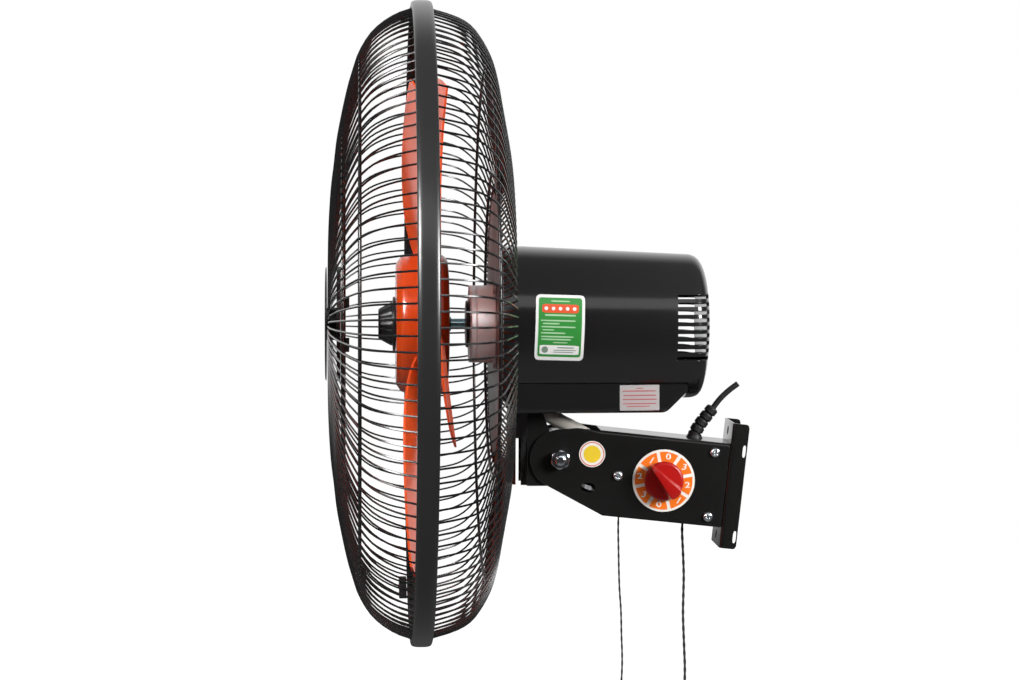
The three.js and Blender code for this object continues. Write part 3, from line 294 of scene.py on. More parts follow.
for use, cord_y, thickness, route in (("swing", -0.0863, 0.0014, swing_route),
                                      ("speed", -0.0383, 0.0019, speed_route)):
    line = smooth_path([(0, cord_y + offset / 1000, z / 1000) for offset, z in route], 420)
    step = np.linalg.norm(np.diff(line, axis=0), axis=1).mean()
    sections = laid_strands(len(line), cord_sides, thickness / 2, strands, lay_pitch, step)
    places = np.concatenate([sections[:1] * 0, sections, sections[:1] * 0])
    run = np.concatenate([[0], np.arange(len(line)) * step, [len(line) * step]])
    straight = np.concatenate([places, np.repeat(run[:, None, None], cord_sides, axis=1)], axis=-1)
    cord = tube_piece(f"{use}_pull_line", line, sections, f"{use}_pull_cord", "cord_black", black_yarn,
                      straight=straight)
    end_y, end_z = line[-1][1], line[-1][2]
    r = thickness / 2
    bell = [(0.0, -0.0004), (r + 0.0003, -0.0004), (r + 0.0003, 0.0058), (0.0022, 0.006), (0.0029, 0.0035),
            (0.0031, 0.001), (0.0049, -0.010), (0.0059, -0.0165), (0.0056, -0.0185), (0.0046, -0.019),
            (0.0040, -0.0172), (0.0, -0.0168)]
    grip = turned_piece(f"{use}_grip_bell", [(reach, end_z + z) for reach, z in bell], f"{use}_pull_cord",
                        "black_plastic", grip_plastic, centre=(0, end_y, 0), soft=0.0005)
    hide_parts(f"{use}_cord")
    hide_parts(f"{use}_pull_grip")
    finish_node(f"{use}_slider", sleeve_white)
    bush_section = [(r + 0.0006, -0.0330), (0.0055, -0.0330), (0.0060, -0.0326), (0.0060, -0.0316), (0.0045, -0.0316),
                    (0.0045, -0.0298), (r + 0.0006, -0.0298)]
    bush = turned_piece(f"{use}_bush_ring", bush_section, "bracket", "black_plastic", grip_plastic,
                        centre=(0, cord_y, 0), soft=0.0003, ring=True)
    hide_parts(f"{use}_cord_bush")


# ---------------------------------------------------------------- mains lead and its boot
# The mains lead is a round black sheathed cable. The photograph shows it cut square a few centimetres above the arm.
# It leaves through a ribbed rubber boot that is pushed through the arm's top flange and bends over towards the wall.

cable_sheath = even_surface("cable_sheath", (0.016, 0.016, 0.017), roughness=0.42, grain=0.0004, strength=0.25)
boot_rubber = even_surface("boot_rubber", (0.011, 0.011, 0.012), roughness=0.5, grain=0.0005, strength=0.35)


def circle(sides):
    """The unit circle as pairs (cos a, sin a)."""
    angle = np.linspace(0, 2 * np.pi, sides, endpoint=False)
    return np.stack([np.cos(angle), np.sin(angle)], axis=-1)


mains_start = np.array([0.0, -0.0272718, 0.0502241])
mains_line = smooth_path([mains_start + np.array(p) / 1000 for p in
                          ((0, 0, 0), (0, 2.2, 4.5), (0, 6.6, 11.6), (0, 12.2, 18.2), (0, 18.4, 24))], 40)
mains = tube_piece("mains_lead", mains_line, 0.00215 * circle(20), "bracket", "cord_black", cable_sheath, crease=60)
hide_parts("mains_cord")

# Boot: a foot, and above it rings carried up a leaning line, with grooves of r = 3.6 mm and flat crests of 4.8 mm; all
# radii go from 1.08 to 0.98 of that on the way up.
boot_line = smooth_path([(0, -0.0367, 0.0300), (0, -0.0364, 0.0345), (0, -0.0345, 0.0395), (0, -0.0317, 0.0445),
                         (0, -0.0286, 0.0494), (0, -0.0251, 0.0547)], 120)
climb = np.linspace(0, 1, 120)
tooth = (climb * 5.0) % 1.0
crest = np.clip(8 * tooth, 0, 1) * np.clip(5 * (1 - tooth), 0, 1)
boot_radius = np.where(climb < 0.12, 0.0062 - 0.012 * climb, 0.0036 + 0.0012 * crest) * (1.08 - 0.1 * climb)
boot = tube_piece("ribbed_boot", boot_line, boot_radius[:, None, None] * circle(28), "bracket", "black_plastic",
                  boot_rubber, crease=40)
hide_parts("cord_boot")


# ---------------------------------------------------------------- wall plate
# A channel folded from 1.5 mm steel sheet and enamelled black. Its web faces the room and takes two wall screws, and
# each flange has two long slots close to the wall. The arm is welded to the web.

wear_tree, given, result = shader_group("worn edge", {"Width": 0.0008, "Amount": 1.0}, {"Mask": "Float"})
bevelled = add_node(wear_tree, "ShaderNodeBevel", {"Radius": given["Width"]}, samples=4)
facing = add_node(wear_tree, "ShaderNodeNewGeometry").outputs["Normal"]
agreement = add_node(wear_tree, "ShaderNodeVectorMath", [bevelled.outputs[0], facing], operation="DOT_PRODUCT")
on_edge = add_node(wear_tree, "ShaderNodeMath", [1.0, agreement.outputs["Value"]], operation="SUBTRACT").outputs[0]
sparse = add_node(wear_tree, "ShaderNodeTexNoise", {
    "Vector": add_node(wear_tree, "ShaderNodeTexCoord").outputs["Object"], "Scale": 260.0, "Detail": 5.0}).outputs[0]
broken = add_node(wear_tree, "ShaderNodeMath", [sparse, 2.2, -0.9], operation="MULTIPLY_ADD").outputs[0]
rubbed = add_node(wear_tree, "ShaderNodeMath", [on_edge, broken], operation="MULTIPLY").outputs[0]
mask = add_node(wear_tree, "ShaderNodeMath", [rubbed, given["Amount"]], operation="MULTIPLY", use_clamp=True)
wear_tree.links.new(mask.outputs[0], result["Mask"])


def enamel(name, color, roughness, wear=1.6):
    """Enamel on sheet steel: the even surface, with the steel's grey showing where an edge is rubbed."""
    material = even_surface(name, color, roughness=roughness, spread=0.08, mottle=0.12, cloud=0.02, grain=0.0016,
                            depth=0.00003, strength=0.12, Coat_Weight=0.35, Coat_Roughness=0.12)
    tree = material.node_tree
    shader = tree.nodes["Principled BSDF"]
    mask = add_node(tree, "ShaderNodeGroup", {"Width": 0.0006, "Amount": wear}, node_tree=wear_tree).outputs["Mask"]
    painted = shader.inputs["Base Color"].links[0].from_socket
    mix = add_node(tree, "ShaderNodeMix", {"Factor": mask, 6: painted, 7: (0.16, 0.16, 0.16, 1)}, data_type="RGBA")
    tree.links.new(mix.outputs[2], shader.inputs["Base Color"])
    return material


black_enamel = enamel("black_enamel", (0.0085, 0.0085, 0.0082), 0.23)


def prism(outline, axis, low, high):
    """A straight block: a convex outline of two coordinates, carried along the third from low to high."""
    outline = np.asarray(outline, float)
    middle = np.repeat(outline.mean(axis=0)[None], len(outline), axis=0)
    rows = [(middle, low), (outline, low), (outline, high), (middle, high)]
    shape = np.stack([np.insert(flat, "xyz".index(axis), place, axis=1) for flat, place in rows])
    return shape, grid_faces(4, len(outline), columns_close=True)


def oval(centre, half, power=2.0, steps=40):
    """Outline |a / half_a|^power + |b / half_b|^power = 1 about a centre."""
    wave = circle(steps)
    return np.array(centre) + np.array(half) * np.sign(wave) * np.abs(wave) ** (2 / power)


def cut_through(piece, cutters, edge):
    """Takes closed shapes out of a piece, keeps the result as its mesh, and softens its edges by a bevel."""
    tools = []
    for points, faces in cutters:
        tool = make_piece("cutter", points, faces, "bracket", "black_paint", black_enamel)
        cut = piece.modifiers.new("cut", "BOOLEAN")
        cut.object, cut.operation, cut.solver = tool, "DIFFERENCE", "EXACT"
        tools.append(tool)
    shown = piece.evaluated_get(bpy.context.evaluated_depsgraph_get())
    piece.data = bpy.data.meshes.new_from_object(shown)
    piece.modifiers.clear()
    piece.data.set_sharp_from_angle(angle=math.radians(35))
    for tool in tools:
        bpy.data.objects.remove(tool)
    soften(piece, edge)


def soften(piece, width, angle=40):
    """A two-step bevel on every edge sharper than angle."""
    bevel = piece.modifiers.new("edge", "BEVEL")
    bevel.width, bevel.segments, bevel.limit_method, bevel.angle_limit = width, 2, "ANGLE", math.radians(angle)
    bevel.harden_normals = True


# Section from one wall edge round the two folds to the other, in x and y; the corners at the wall are rounded off.
half_tall, corner_radius = 46.25, 2.6
fold = rounded([(22.5, 0), (22.5, -12.3), (-22.5, -12.3), (-22.5, 0)], 3.2)
along_fold = np.concatenate([np.linspace(fold[0], fold[1], 14), fold[2:6], np.linspace(fold[6], fold[7], 4)[:-1],
                             fold[7:-2], np.linspace(fold[-2], fold[-1], 14)])
from_wall = -along_fold[:, 1]
cut_off = corner_radius - np.sqrt(np.maximum(corner_radius ** 2 - (corner_radius - from_wall) ** 2, 0))
top = half_tall - np.where(from_wall < corner_radius, cut_off, 0)
plate_points = np.stack([np.stack([along_fold[:, 0], along_fold[:, 1], level * top], axis=-1)
                         for level in np.linspace(-1, 1, 9)]) / 1000
wall_channel = make_piece("wall_channel", plate_points, grid_faces(9, len(along_fold)), "bracket", "black_paint",
                          black_enamel, wall=0.0015)
cut_through(wall_channel, [prism(oval((-0.002, side * 0.0318 - 0.0055), (0.00125, 0.0045), 3), "x", -0.03, 0.03)
                           for side in (-1, 1)]
            + [prism(oval((0, side * 0.039), (0.0032, 0.0032)), "y", -0.02, 0.0) for side in (-1, 1)], edge=0.0003)
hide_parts("wall_plate")


# ---------------------------------------------------------------- arm
# The arm is one folded steel channel, open below: two side plates and the level top flange between them. In front the
# sides go on alone as round cheeks for the tilt bolt, and a small lip curls in where the flange begins.

bolt_y, bolt_z = -136.5, 7.0


def on_arm(x, behind, above):
    """Millimetres across, behind and above the tilt bolt, to metres in the frame."""
    return np.stack(np.broadcast_arrays(x, behind + bolt_y, above + bolt_z), axis=-1).astype(float) / 1000


# Edges of a side plate, by the place behind the bolt. Above, a circle round the bolt to -3.77 and a rise to the flange
# at 10. Below, the circle to -7.42 and a slope down to the level edge at 35.7.
cheek_radius, half_arm, flange_top, edge_below = 21.7, 21, 23.9, 38.3
nose = -cheek_radius * np.cos(np.linspace(0, np.radians(80), 16))
behind = np.concatenate([nose, [0, 5, 10, 14], np.linspace(17, 29, 13), [35.7, 50, 66, 82, 98, 112, 123.9]])
cheek = np.sqrt(np.maximum(cheek_radius ** 2 - behind ** 2, 0))
rise = 21.37 + (behind + 3.77) * (flange_top - 21.37) / 13.77
slope = 20.39 + (behind + 7.42) * (edge_below - 20.39) / 43.12
top = np.select([behind < -3.77, behind < 10], [cheek, rise], flange_top)
bottom = -np.select([behind < -7.42, behind < 35.7], [cheek, slope], edge_below)
fold_radius = 2.8 * np.clip((behind - 17) / 11, 0, 1) ** 0.6
up_side = np.linspace(0, 1, 9)[None]
round_fold = np.radians(np.linspace(0, 90, 7)[None, 1:])
side_z = bottom[:, None] + up_side * (top - fold_radius - bottom)[:, None]
fold_x = half_arm - fold_radius[:, None] * (1 - np.cos(round_fold))
fold_z = (top - fold_radius)[:, None] + fold_radius[:, None] * np.sin(round_fold)
half_x = np.concatenate([np.full_like(side_z, half_arm), fold_x], axis=1)
half_z = np.concatenate([side_z, fold_z], axis=1)
flange_x = np.linspace(1, -1, 9)[None, 1:-1] * (half_arm - fold_radius)[:, None]
flange_z = np.repeat(top[:, None], 7, axis=1)
arm_x = np.concatenate([half_x, flange_x, -half_x[:, ::-1]], axis=1)
arm_z = np.concatenate([half_z, flange_z, half_z[:, ::-1]], axis=1)
columns = arm_x.shape[1]
arm_faces = grid_faces(len(behind), columns).reshape(len(behind) - 1, columns - 1, 4)
has_flange = behind[1:] > 28.5
in_flange = np.zeros(columns - 1, bool)
in_flange[14:-14] = True
arm_faces = arm_faces[has_flange[:, None] | ~in_flange[None]]
arm = make_piece("arm_sides", on_arm(arm_x, behind[:, None], arm_z), arm_faces, "bracket", "black_paint", black_enamel,
                 wall=0.0015)
cut_through(arm, [prism(oval((-0.1135, -0.0118), (0.0052, 0.0034), 2.6), "x", 0.015, 0.03)], edge=0.0003)
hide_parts("arm_channel")

# The small tie in the punched slot: a strip worn bright, that turns by 55 degrees to its middle and back again.
worn_steel = even_surface("worn_steel", (0.10, 0.10, 0.105), roughness=0.3, Metallic=0.6)
tongue_line = on_arm(np.linspace(20.6, 19.6, 12), np.linspace(17.9, 28.1, 12), np.linspace(-17.6, -20.2, 12))
lean = np.radians(70 - 55 * np.sin(np.linspace(0, np.pi, 12)))[:, None]
corner = np.array([(1, 1), (-1, 1), (-1, -1), (1, -1)]) * np.array((0.0015, 0.0004))
turn_a = corner[None, :, 0] * np.cos(lean) - corner[None, :, 1] * np.sin(lean)
turn_b = corner[None, :, 0] * np.sin(lean) + corner[None, :, 1] * np.cos(lean)
tube_piece("slot_tongue", tongue_line, np.stack([turn_a, turn_b], axis=-1), "bracket", "black_paint", worn_steel)


def softened_copy(name, node, body, material, width):
    """A CAD solid as a new piece, with its flat triangles joined and its edges bevelled."""
    shape = bmesh.new()
    shape.from_mesh(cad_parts[node].data)
    bmesh.ops.remove_doubles(shape, verts=shape.verts, dist=2e-6)
    bmesh.ops.dissolve_limit(shape, angle_limit=math.radians(1.5), verts=shape.verts, edges=shape.edges)
    mesh = bpy.data.meshes.new(name)
    shape.to_mesh(mesh)
    shape.free()
    mesh.shade_smooth()
    mesh.set_sharp_from_angle(angle=math.radians(30))
    mesh.materials.append(material)
    piece = bpy.data.objects.new(name, mesh)
    bpy.context.scene.collection.objects.link(piece)
    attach(piece, body)
    soften(piece, width, 30)
    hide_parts(node)


softened_copy("arm_floor", "arm_bottom_cover", "bracket", black_enamel, 0.0003)


# ---------------------------------------------------------------- tilt bolt and case screws
# An M8 bolt and nut clamp the neck between the cheeks. Three cross head screws hold the switch carrier to the side
# plate. All are zinc plated and bright.

metal_tree, given, result = shader_group(
    "drawn metal", {"Lines": (300.0, 4000.0, 300.0), "Roughness": 0.25, "Spread": 0.2},
    {"Roughness": "Float", "Height": "Float"})
stretched = add_node(metal_tree, "ShaderNodeVectorMath", [
    add_node(metal_tree, "ShaderNodeTexCoord").outputs["Object"], given["Lines"]], operation="MULTIPLY").outputs[0]
lines = add_node(metal_tree, "ShaderNodeTexNoise", {"Vector": stretched, "Scale": 1.0, "Detail": 3.0}).outputs[0]
shifted = add_node(metal_tree, "ShaderNodeMath", [lines, 0.5], operation="SUBTRACT").outputs[0]
varied = add_node(metal_tree, "ShaderNodeMath", [shifted, given["Spread"], given["Roughness"]],
                  operation="MULTIPLY_ADD").outputs[0]
metal_tree.links.new(varied, result["Roughness"])
metal_tree.links.new(lines, result["Height"])


def bare_metal(name, color, roughness, spread, lines, strength, metallic=1.0):
    """Metal whose roughness and fine height come from noise, drawn out where the three scales in lines differ."""
    material, tree, shader = new_material(name, Metallic=metallic, Base_Color=(*color, 1))
    group = add_node(tree, "ShaderNodeGroup", {"Lines": lines, "Roughness": roughness, "Spread": spread},
                     node_tree=metal_tree)
    feed(tree, shader, group.outputs["Height"], 0.00002, strength, Roughness=group.outputs["Roughness"])
    return material


bright_zinc = bare_metal("bright_zinc", (0.66, 0.70, 0.74), 0.22, 0.2, (700.0, 700.0, 700.0), 0.15)


def hex_piece(name, start, height, hole, side):
    """A hexagon 13 mm across flats, r = 6.5 / cos((a + 30) mod 60 - 30), cut back by a cone at both faces."""
    angle = np.linspace(0, 2 * np.pi, 72, endpoint=False)
    flat = 6.5 / np.cos((angle + np.pi / 6) % (np.pi / 3) - np.pi / 6)
    rows = [(0.0, 0.0), (6.3, 0.0), (6.9, 0.35), (9, 0.8), (9, height - 0.9), (7.0, height - 0.4), (6.2, height)]
    if hole:
        rows += [(hole + 0.5, height), (hole, height - 0.6), (hole, height - 2), (0.0, height - 2)]
    else:
        rows += [(0.0, height)]
    points = np.stack([on_arm(side * (start + place), np.minimum(flat, limit) * np.cos(angle),
                              np.minimum(flat, limit) * np.sin(angle)) for limit, place in rows])
    return make_piece(name, points, grid_faces(len(rows), 72, columns_close=True), "bracket", "zinc_steel",
                      bright_zinc, crease=25)


nut = hex_piece("bolt_nut", 21.3, 6.5, 4.2, 1)
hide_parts("tilt_nut")
hex_piece("bolt_head", 21.3, 5.3, 0, -1)
thread = [(3.55 + 0.45 * (k % 2), 26.4 + 0.32 * k) for k in range(12)]
bolt = turned_piece("bolt_shank", [(0, -20.5), (4, -20.5), (4, 26)] + thread + [(3.3, 30.6), (2.4, 31.0), (0, 31.2)],
                    "bracket", "zinc_steel", bright_zinc, axis="x", soft=0.12, place=on_arm)
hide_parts("tilt_bolt")


def cross_head(name, spin, place, radius=3.5, height=2.2, shank=3.0):
    """A pan head with a cross recess: h = height * (1 - 0.55 (r/R)^3), less a trench where |a| or |b| is small."""
    reach = np.concatenate([[0], np.linspace(0.05, 1, 20)])[:, None]
    angle = np.linspace(0, 2 * np.pi, 72, endpoint=False)[None]
    a = radius * reach * np.cos(angle + math.radians(spin))
    b = radius * reach * np.sin(angle + math.radians(spin))
    one, other = [np.clip(1.5 - np.abs(p) / (0.14 * radius), 0, 1) * np.clip(4 - np.abs(q) / (0.16 * radius), 0, 1)
                  for p, q in ((a, b), (b, a))]
    trench = np.maximum(one, other)
    lift = height * (1 - 0.55 * reach ** 3) - 0.62 * height * trench * (1 - 0.6 * reach)
    a, b = radius * reach * np.cos(angle), radius * reach * np.sin(angle)
    low = [(radius, 0.0), (0.5 * radius, 0.0), (0.5 * radius, -shank), (0.0, -shank)]
    a = np.concatenate([a, [r * np.cos(angle[0]) for r, _ in low]])
    b = np.concatenate([b, [r * np.sin(angle[0]) for r, _ in low]])
    lift = np.concatenate([lift, [np.full(72, h) for _, h in low]])
    return make_piece(name, place(a, b, lift), grid_faces(len(a), 72, columns_close=True), "bracket", "zinc_steel",
                      bright_zinc, crease=50)


for number, (back, above, spin) in enumerate([(43.9, -7.8, 38), (113.4, 16.5, 20), (113.4, -31.3, 62)], 1):
    screw = cross_head(f"carrier_screw_{number}", spin,
                       lambda a, b, lift: on_arm(21.3 + lift, back + a, above + b))
    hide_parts(f"case_screw_{number}")


# ---------------------------------------------------------------- speed dial
# A printed plastic disc behind a red knob: eight orange fields with white bars between them and plain numbers. The
# knob is one moulding, a low round base with a wedge across it that is narrow at its pointer.

dial_white = even_surface("dial_white", (0.86, 0.83, 0.78), roughness=0.35, mottle=0.04, grain=0.0006)
dial_orange = even_surface("dial_orange", (0.93, 0.19, 0.012), roughness=0.35, mottle=0.06, grain=0.0006)
knob_red = even_surface("knob_red", (0.40, 0.005, 0.004), roughness=0.3, mottle=0.12, cloud=0.012, grain=0.0005,
                        Coat_Weight=0.3, Coat_Roughness=0.15, Subsurface_Weight=0.05, Subsurface_Scale=0.002)
dial_place = (77.8, -8.1)


def on_dial(across, a, b):
    """Millimetres off the arm's side plate and from the dial's middle, to metres in the frame."""
    return on_arm(across, dial_place[0] + a, dial_place[1] + b)


turned_piece("dial_sheet", [(0, 21.05), (23.0, 21.05), (23.0, 21.55), (0, 21.55)], "bracket", "white_plastic",
             dial_white, axis="x", soft=0.15, steps=96, place=on_dial)

# Fields between the bars: their ends run parallel to the bars, half a bar's width off their middle lines.
half_bar = 1.25
fields = []
for number in range(8):
    first, last = np.radians(-17.5 + 45 * number), np.radians(27.5 + 45 * number)
    arcs = []
    for radius in (14.0, 21.3):
        gap = math.asin(half_bar / radius)
        arcs.append((radius, np.linspace(first + gap, last - gap, 14)))
    ring = np.stack([np.stack([r * np.sin(t), r * np.cos(t)], axis=-1) for r, t in arcs])
    upper = on_dial(21.62, ring[..., 0], ring[..., 1])
    lower = on_dial(21.50, ring[..., 0], ring[..., 1])
    fields.append(np.stack([lower[0], upper[0], upper[1], lower[1]]))
one_field = np.vstack([grid_faces(4, 14, rows_close=True), [[0, 14, 28, 42], [13, 55, 41, 27]]])
field_faces = np.concatenate([one_field + 56 * k for k in range(8)])
make_piece("dial_fields", np.concatenate(fields), field_faces, "bracket", "orange_plastic", dial_orange)

# Numbers: Blender's own letter shapes as meshes, set round the disc and upright in the photograph.
number_ring = 17.9
number_shapes = []
for number, digit in enumerate("03210321"):
    words = bpy.data.curves.new("digit", "FONT")
    words.body, words.size, words.extrude, words.align_x, words.align_y = digit, 0.0066, 0.00006, "CENTER", "CENTER"
    words.shear = {"1": 0.45, "3": 0.2}.get(digit, 0.0)
    words.offset = 0.00012
    text = bpy.data.objects.new("digit", words)
    bpy.context.scene.collection.objects.link(text)
    flat = bpy.data.meshes.new_from_object(text.evaluated_get(bpy.context.evaluated_depsgraph_get()))
    bpy.data.objects.remove(text)
    turn, upright = math.radians(5 + 45 * number), math.radians(-6)
    v = np.zeros(len(flat.vertices) * 3)
    flat.vertices.foreach_get("co", v)
    v = v.reshape(-1, 3) * (1200, 900, 1000)
    a = v[:, 0] * math.cos(upright) + v[:, 1] * math.sin(upright) + number_ring * math.sin(turn)
    b = -v[:, 0] * math.sin(upright) + v[:, 1] * math.cos(upright) + number_ring * math.cos(turn)
    flat.vertices.foreach_set("co", on_dial(21.64 + v[:, 2], a, b).ravel())
    number_shapes.append(flat)
joined = bmesh.new()
for flat in number_shapes:
    joined.from_mesh(flat)
bmesh.ops.remove_doubles(joined, verts=joined.verts, dist=1e-7)
bmesh.ops.recalc_face_normals(joined, faces=joined.faces)
digits_mesh = bpy.data.meshes.new("dial_numbers")
joined.to_mesh(digits_mesh)
joined.free()
digits_mesh.materials.append(dial_white)
digits = bpy.data.objects.new("dial_numbers", digits_mesh)
bpy.context.scene.collection.objects.link(digits)
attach(digits, "bracket")

# Knob: the base is turned. The wedge's plan half width grows from 1.1 mm at the pointer to 5.1 mm at the tail, and its
# steep sides carry a plateau that falls to both ends: height = 10.6 (1 - 0.38 t^4), t = -1 (tail) to 1 (pointer).
turned_piece("knob_base", [(0, 22.0), (14.5, 22.0), (14.5, 25.4), (13.2, 27.0), (0, 27.6)], "knob", "red_plastic",
             knob_red, axis="x", soft=0.7, steps=72, place=on_dial)
t = np.linspace(-1, 1, 31)[:, None]
half_wedge = (3.1 - 2.0 * t) * np.sqrt(np.clip(1 - np.abs(t) ** 12, 0.0, 1))
height = 10.6 * (1 - 0.38 * np.abs(t) ** 4)
side = np.array([-1.4, -1.4, -1.34, -1.0, -0.9, 0, 0.9, 1.0, 1.34, 1.4, 1.4])[None]
lift = np.array([-0.3, 0.0, 0.08, 0.92, 1.0, 1.03, 1.0, 0.92, 0.08, 0.0, -0.3])[None]
length = np.where(t > 0, 16.2, 14.2) * t
wedge = np.stack(np.broadcast_arrays(side * half_wedge, length, 26.6 + lift * height), axis=-1)
wedge = np.concatenate([wedge[:1] * (0, 1, 0) + (0, 0, 26.6), wedge, wedge[-1:] * (0, 1, 0) + (0, 0, 26.6)])
turn = math.radians(-47)
a = wedge[..., 0] * math.cos(turn) + wedge[..., 1] * math.sin(turn)
b = -wedge[..., 0] * math.sin(turn) + wedge[..., 1] * math.cos(turn)
knob_grip = make_piece("knob_wedge", on_dial(wedge[..., 2], a, b), grid_faces(33, 11, columns_close=True), "knob",
                       "red_plastic", knob_red, crease=30)
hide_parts("speed_knob")

# A plain round sticker between the bolt and the dial: a white rim, a thin red ring and a bare yellow middle.
sticker_yellow = even_surface("sticker_yellow", (0.86, 0.60, 0.03), roughness=0.4, mottle=0.05)
sticker_red = even_surface("sticker_red", (0.62, 0.03, 0.02), roughness=0.4, mottle=0.05)
for name, outer, inner, level, material in (("sticker_disc", 9.6, 0, 21.05, dial_white),
                                            ("sticker_ring", 8.9, 8.3, 21.12, sticker_red),
                                            ("sticker_middle", 6.3, 0, 21.13, sticker_yellow)):
    outline = [(inner, level), (outer, level), (outer, level + 0.07), (inner, level + 0.07)]
    turned_piece(name, outline, "bracket", "white_plastic", material, axis="x", soft=0, steps=80, ring=inner > 0,
                 place=lambda x, back, up: on_arm(x, 23.3 + back, 6.0 + up))


# ---------------------------------------------------------------- neck and motor lead
# A black enamelled casting tilts between the arm's cheeks and carries the swing spindle. The motor lead is a soft grey
# sleeve that comes out of the pan beside the neck and dives into the arm, with slack for the swing.

softened_copy("neck_casting", "neck_yoke", "neck", black_enamel, 0.0008)
rest_tilt = math.radians(6)
bolt_along, bolt_below = 101.7, 97.8


def on_head(x, along, above):
    """Head millimetres to metres: along the fan axis and above it, turned by the rest tilt about the tilt bolt."""
    c, s = math.cos(rest_tilt), math.sin(rest_tilt)
    a, b = np.asarray(along, float) - bolt_along, np.asarray(above, float) + bolt_below
    turned = np.broadcast_arrays(x, bolt_y + a * c - b * s, bolt_z + a * s + b * c)
    return np.stack(turned, axis=-1).astype(float) / 1000


lead_sleeve = even_surface("lead_sleeve", (0.74, 0.70, 0.63), roughness=0.55, spread=0.15, mottle=0.25, cloud=0.008,
                           grain=0.0007, strength=0.4)
lead_along, lead_above = [82, 90, 98, 107, 116, 125, 132], [-60, -64.2, -68.6, -73.2, -77.4, -82.5, -90]
lead_line = smooth_path(on_head(9.0, lead_along, lead_above), 60)
swell = (np.linspace(0.0062, 0.0041, 60) + 0.0001 * np.sin(np.linspace(0, 40, 60)))[:, None, None]
lead = tube_piece("motor_lead_sleeve", lead_line, circle(24) * (1, 0.86) * swell, None, "grey_rubber", lead_sleeve)
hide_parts("motor_lead")
tuple(on_head(7, 118, -77))
tuple(on_head(7, 98, -69))
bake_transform(lead)


# ---------------------------------------------------------------- motor cover and pan
# Two glossy black mouldings close the motor: a round cover that tapers to a domed end with nine slots on each side, and
# a pan below it with flat sides and a sloping end. Their seam runs parallel to the fan axis, 41 mm below it.

gloss_black = even_surface("gloss_black", (0.0105, 0.0105, 0.011), roughness=0.17, spread=0.07, mottle=0.1, cloud=0.05,
                           grain=0.0011, depth=0.00002, strength=0.06, Coat_Weight=0.2, Coat_Roughness=0.05)

# Rows run from the front edge to the rear and over it, then towards the axis. Columns keep a constant height on both
# sides, so that the slots and the seam are straight. The end is fuller below the axis than above it.
cover_along = np.array([57.0, 57.3, 60, 63.7, 75, 95, 115, 135, 155, 172, 184.3, 190, 194.3, 197.5, 200, 202.3, 204.3,
                        206.2, 207.6, 208.6, 209.3, 210.0, 210.4, 210.5])
stations = [57, 57.3, 60, 75, 197.5, 200, 202.3, 204.3, 206.2, 207.6, 208.6, 209.3, 210.0, 210.4, 210.5]
cover_top = np.interp(cover_along, stations,
                      [56.7, 57.1, 57.3, 57.3, 51.7, 51.1, 50.1, 48.3, 45.6, 42.6, 39.3, 35.6, 26.0, 14.0, 0.0])
cover_low = np.interp(cover_along, stations,
                      [56.7, 57.1, 57.3, 57.3, 54.4, 54.2, 53.6, 52.6, 50.4, 47.0, 43.0, 38.6, 28.0, 15.0, 0.0])
slot_top, slot_pitch, slot_half, slot_count = 22.25, 5.6, 1.4, 9
slot_heights = np.concatenate([[slot_top - slot_pitch * k + slot_half, slot_top - slot_pitch * k - slot_half]
                               for k in range(slot_count)])
side_heights = np.unique(np.concatenate([[-40.6, -36.0, -31.0, -27.3], slot_heights, [26.3, 29]]))
sweep_steps = 31
sweep = np.linspace(0, 1, sweep_steps)


def half_width(above, top, low):
    """Half width of the cover at a height: top * sqrt(1 - (z / R)^2), with R = top above the axis and low below."""
    return top * np.sqrt(np.maximum(1 - (above / np.where(above > 0, top, low)) ** 2, 0))


def cover_ring(top, low):
    """One ring of the cover: side columns at fixed heights, and evenly spread angles over the top and under it."""
    if low < 0.1:
        return np.zeros((2 * len(side_heights) + 2 * sweep_steps, 2))
    heights = np.clip(side_heights, -0.985 * low, 0.985 * top)
    near = np.stack([half_width(heights, top, low), heights], axis=-1)
    start, end = math.asin(heights[-1] / top), math.asin(-heights[0] / low)
    over = start + 0.04 + sweep * (math.pi - 2 * start - 0.08)
    under = np.pi + end + 0.04 + sweep * (math.pi - 2 * end - 0.08)
    return np.concatenate([near, np.stack([top * np.cos(over), top * np.sin(over)], axis=-1), near[::-1] * (-1, 1),
                           np.stack([top * np.cos(under), low * np.sin(under)], axis=-1)])


rings = [cover_ring(top, low) for top, low in zip(cover_top, cover_low)]
count, sides_count = len(rings[0]), len(side_heights)
far_start, far_stop = sides_count + sweep_steps, 2 * sides_count + sweep_steps
cover_points = np.stack([on_head(ring[:, 0], u, ring[:, 1]) for ring, u in zip(rings, cover_along)])
faces = grid_faces(len(rings), count, columns_close=True).reshape(len(rings) - 1, count, 4)
middle_z = (rings[0][:, 1] + np.roll(rings[0][:, 1], -1)) / 2
column = np.arange(count)
beside = (column < sides_count - 1) | ((column >= far_start) & (column < far_stop - 1))
slot_place = (slot_top - middle_z) / slot_pitch
in_slot = beside & (np.abs(slot_place - np.round(slot_place)) < 0.25)
in_slot &= (slot_place > -0.4) & (slot_place < slot_count - 0.6)
slotted = (cover_along[:-1] >= 184) & (cover_along[1:] <= 209.4)
over_pan = (cover_along[:-1] >= 63.7) & (cover_along[1:] <= 194.4)
keep = ~(slotted[:, None] & in_slot[None]) & ~(over_pan[:, None] & (column >= far_stop - 1)[None])
cover = make_piece("motor_housing", cover_points, faces[keep], "head", "black_plastic", gloss_black, wall=0.002,
                   crease=32)
soften(cover, 0.00025, 50)
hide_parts("motor_cover")

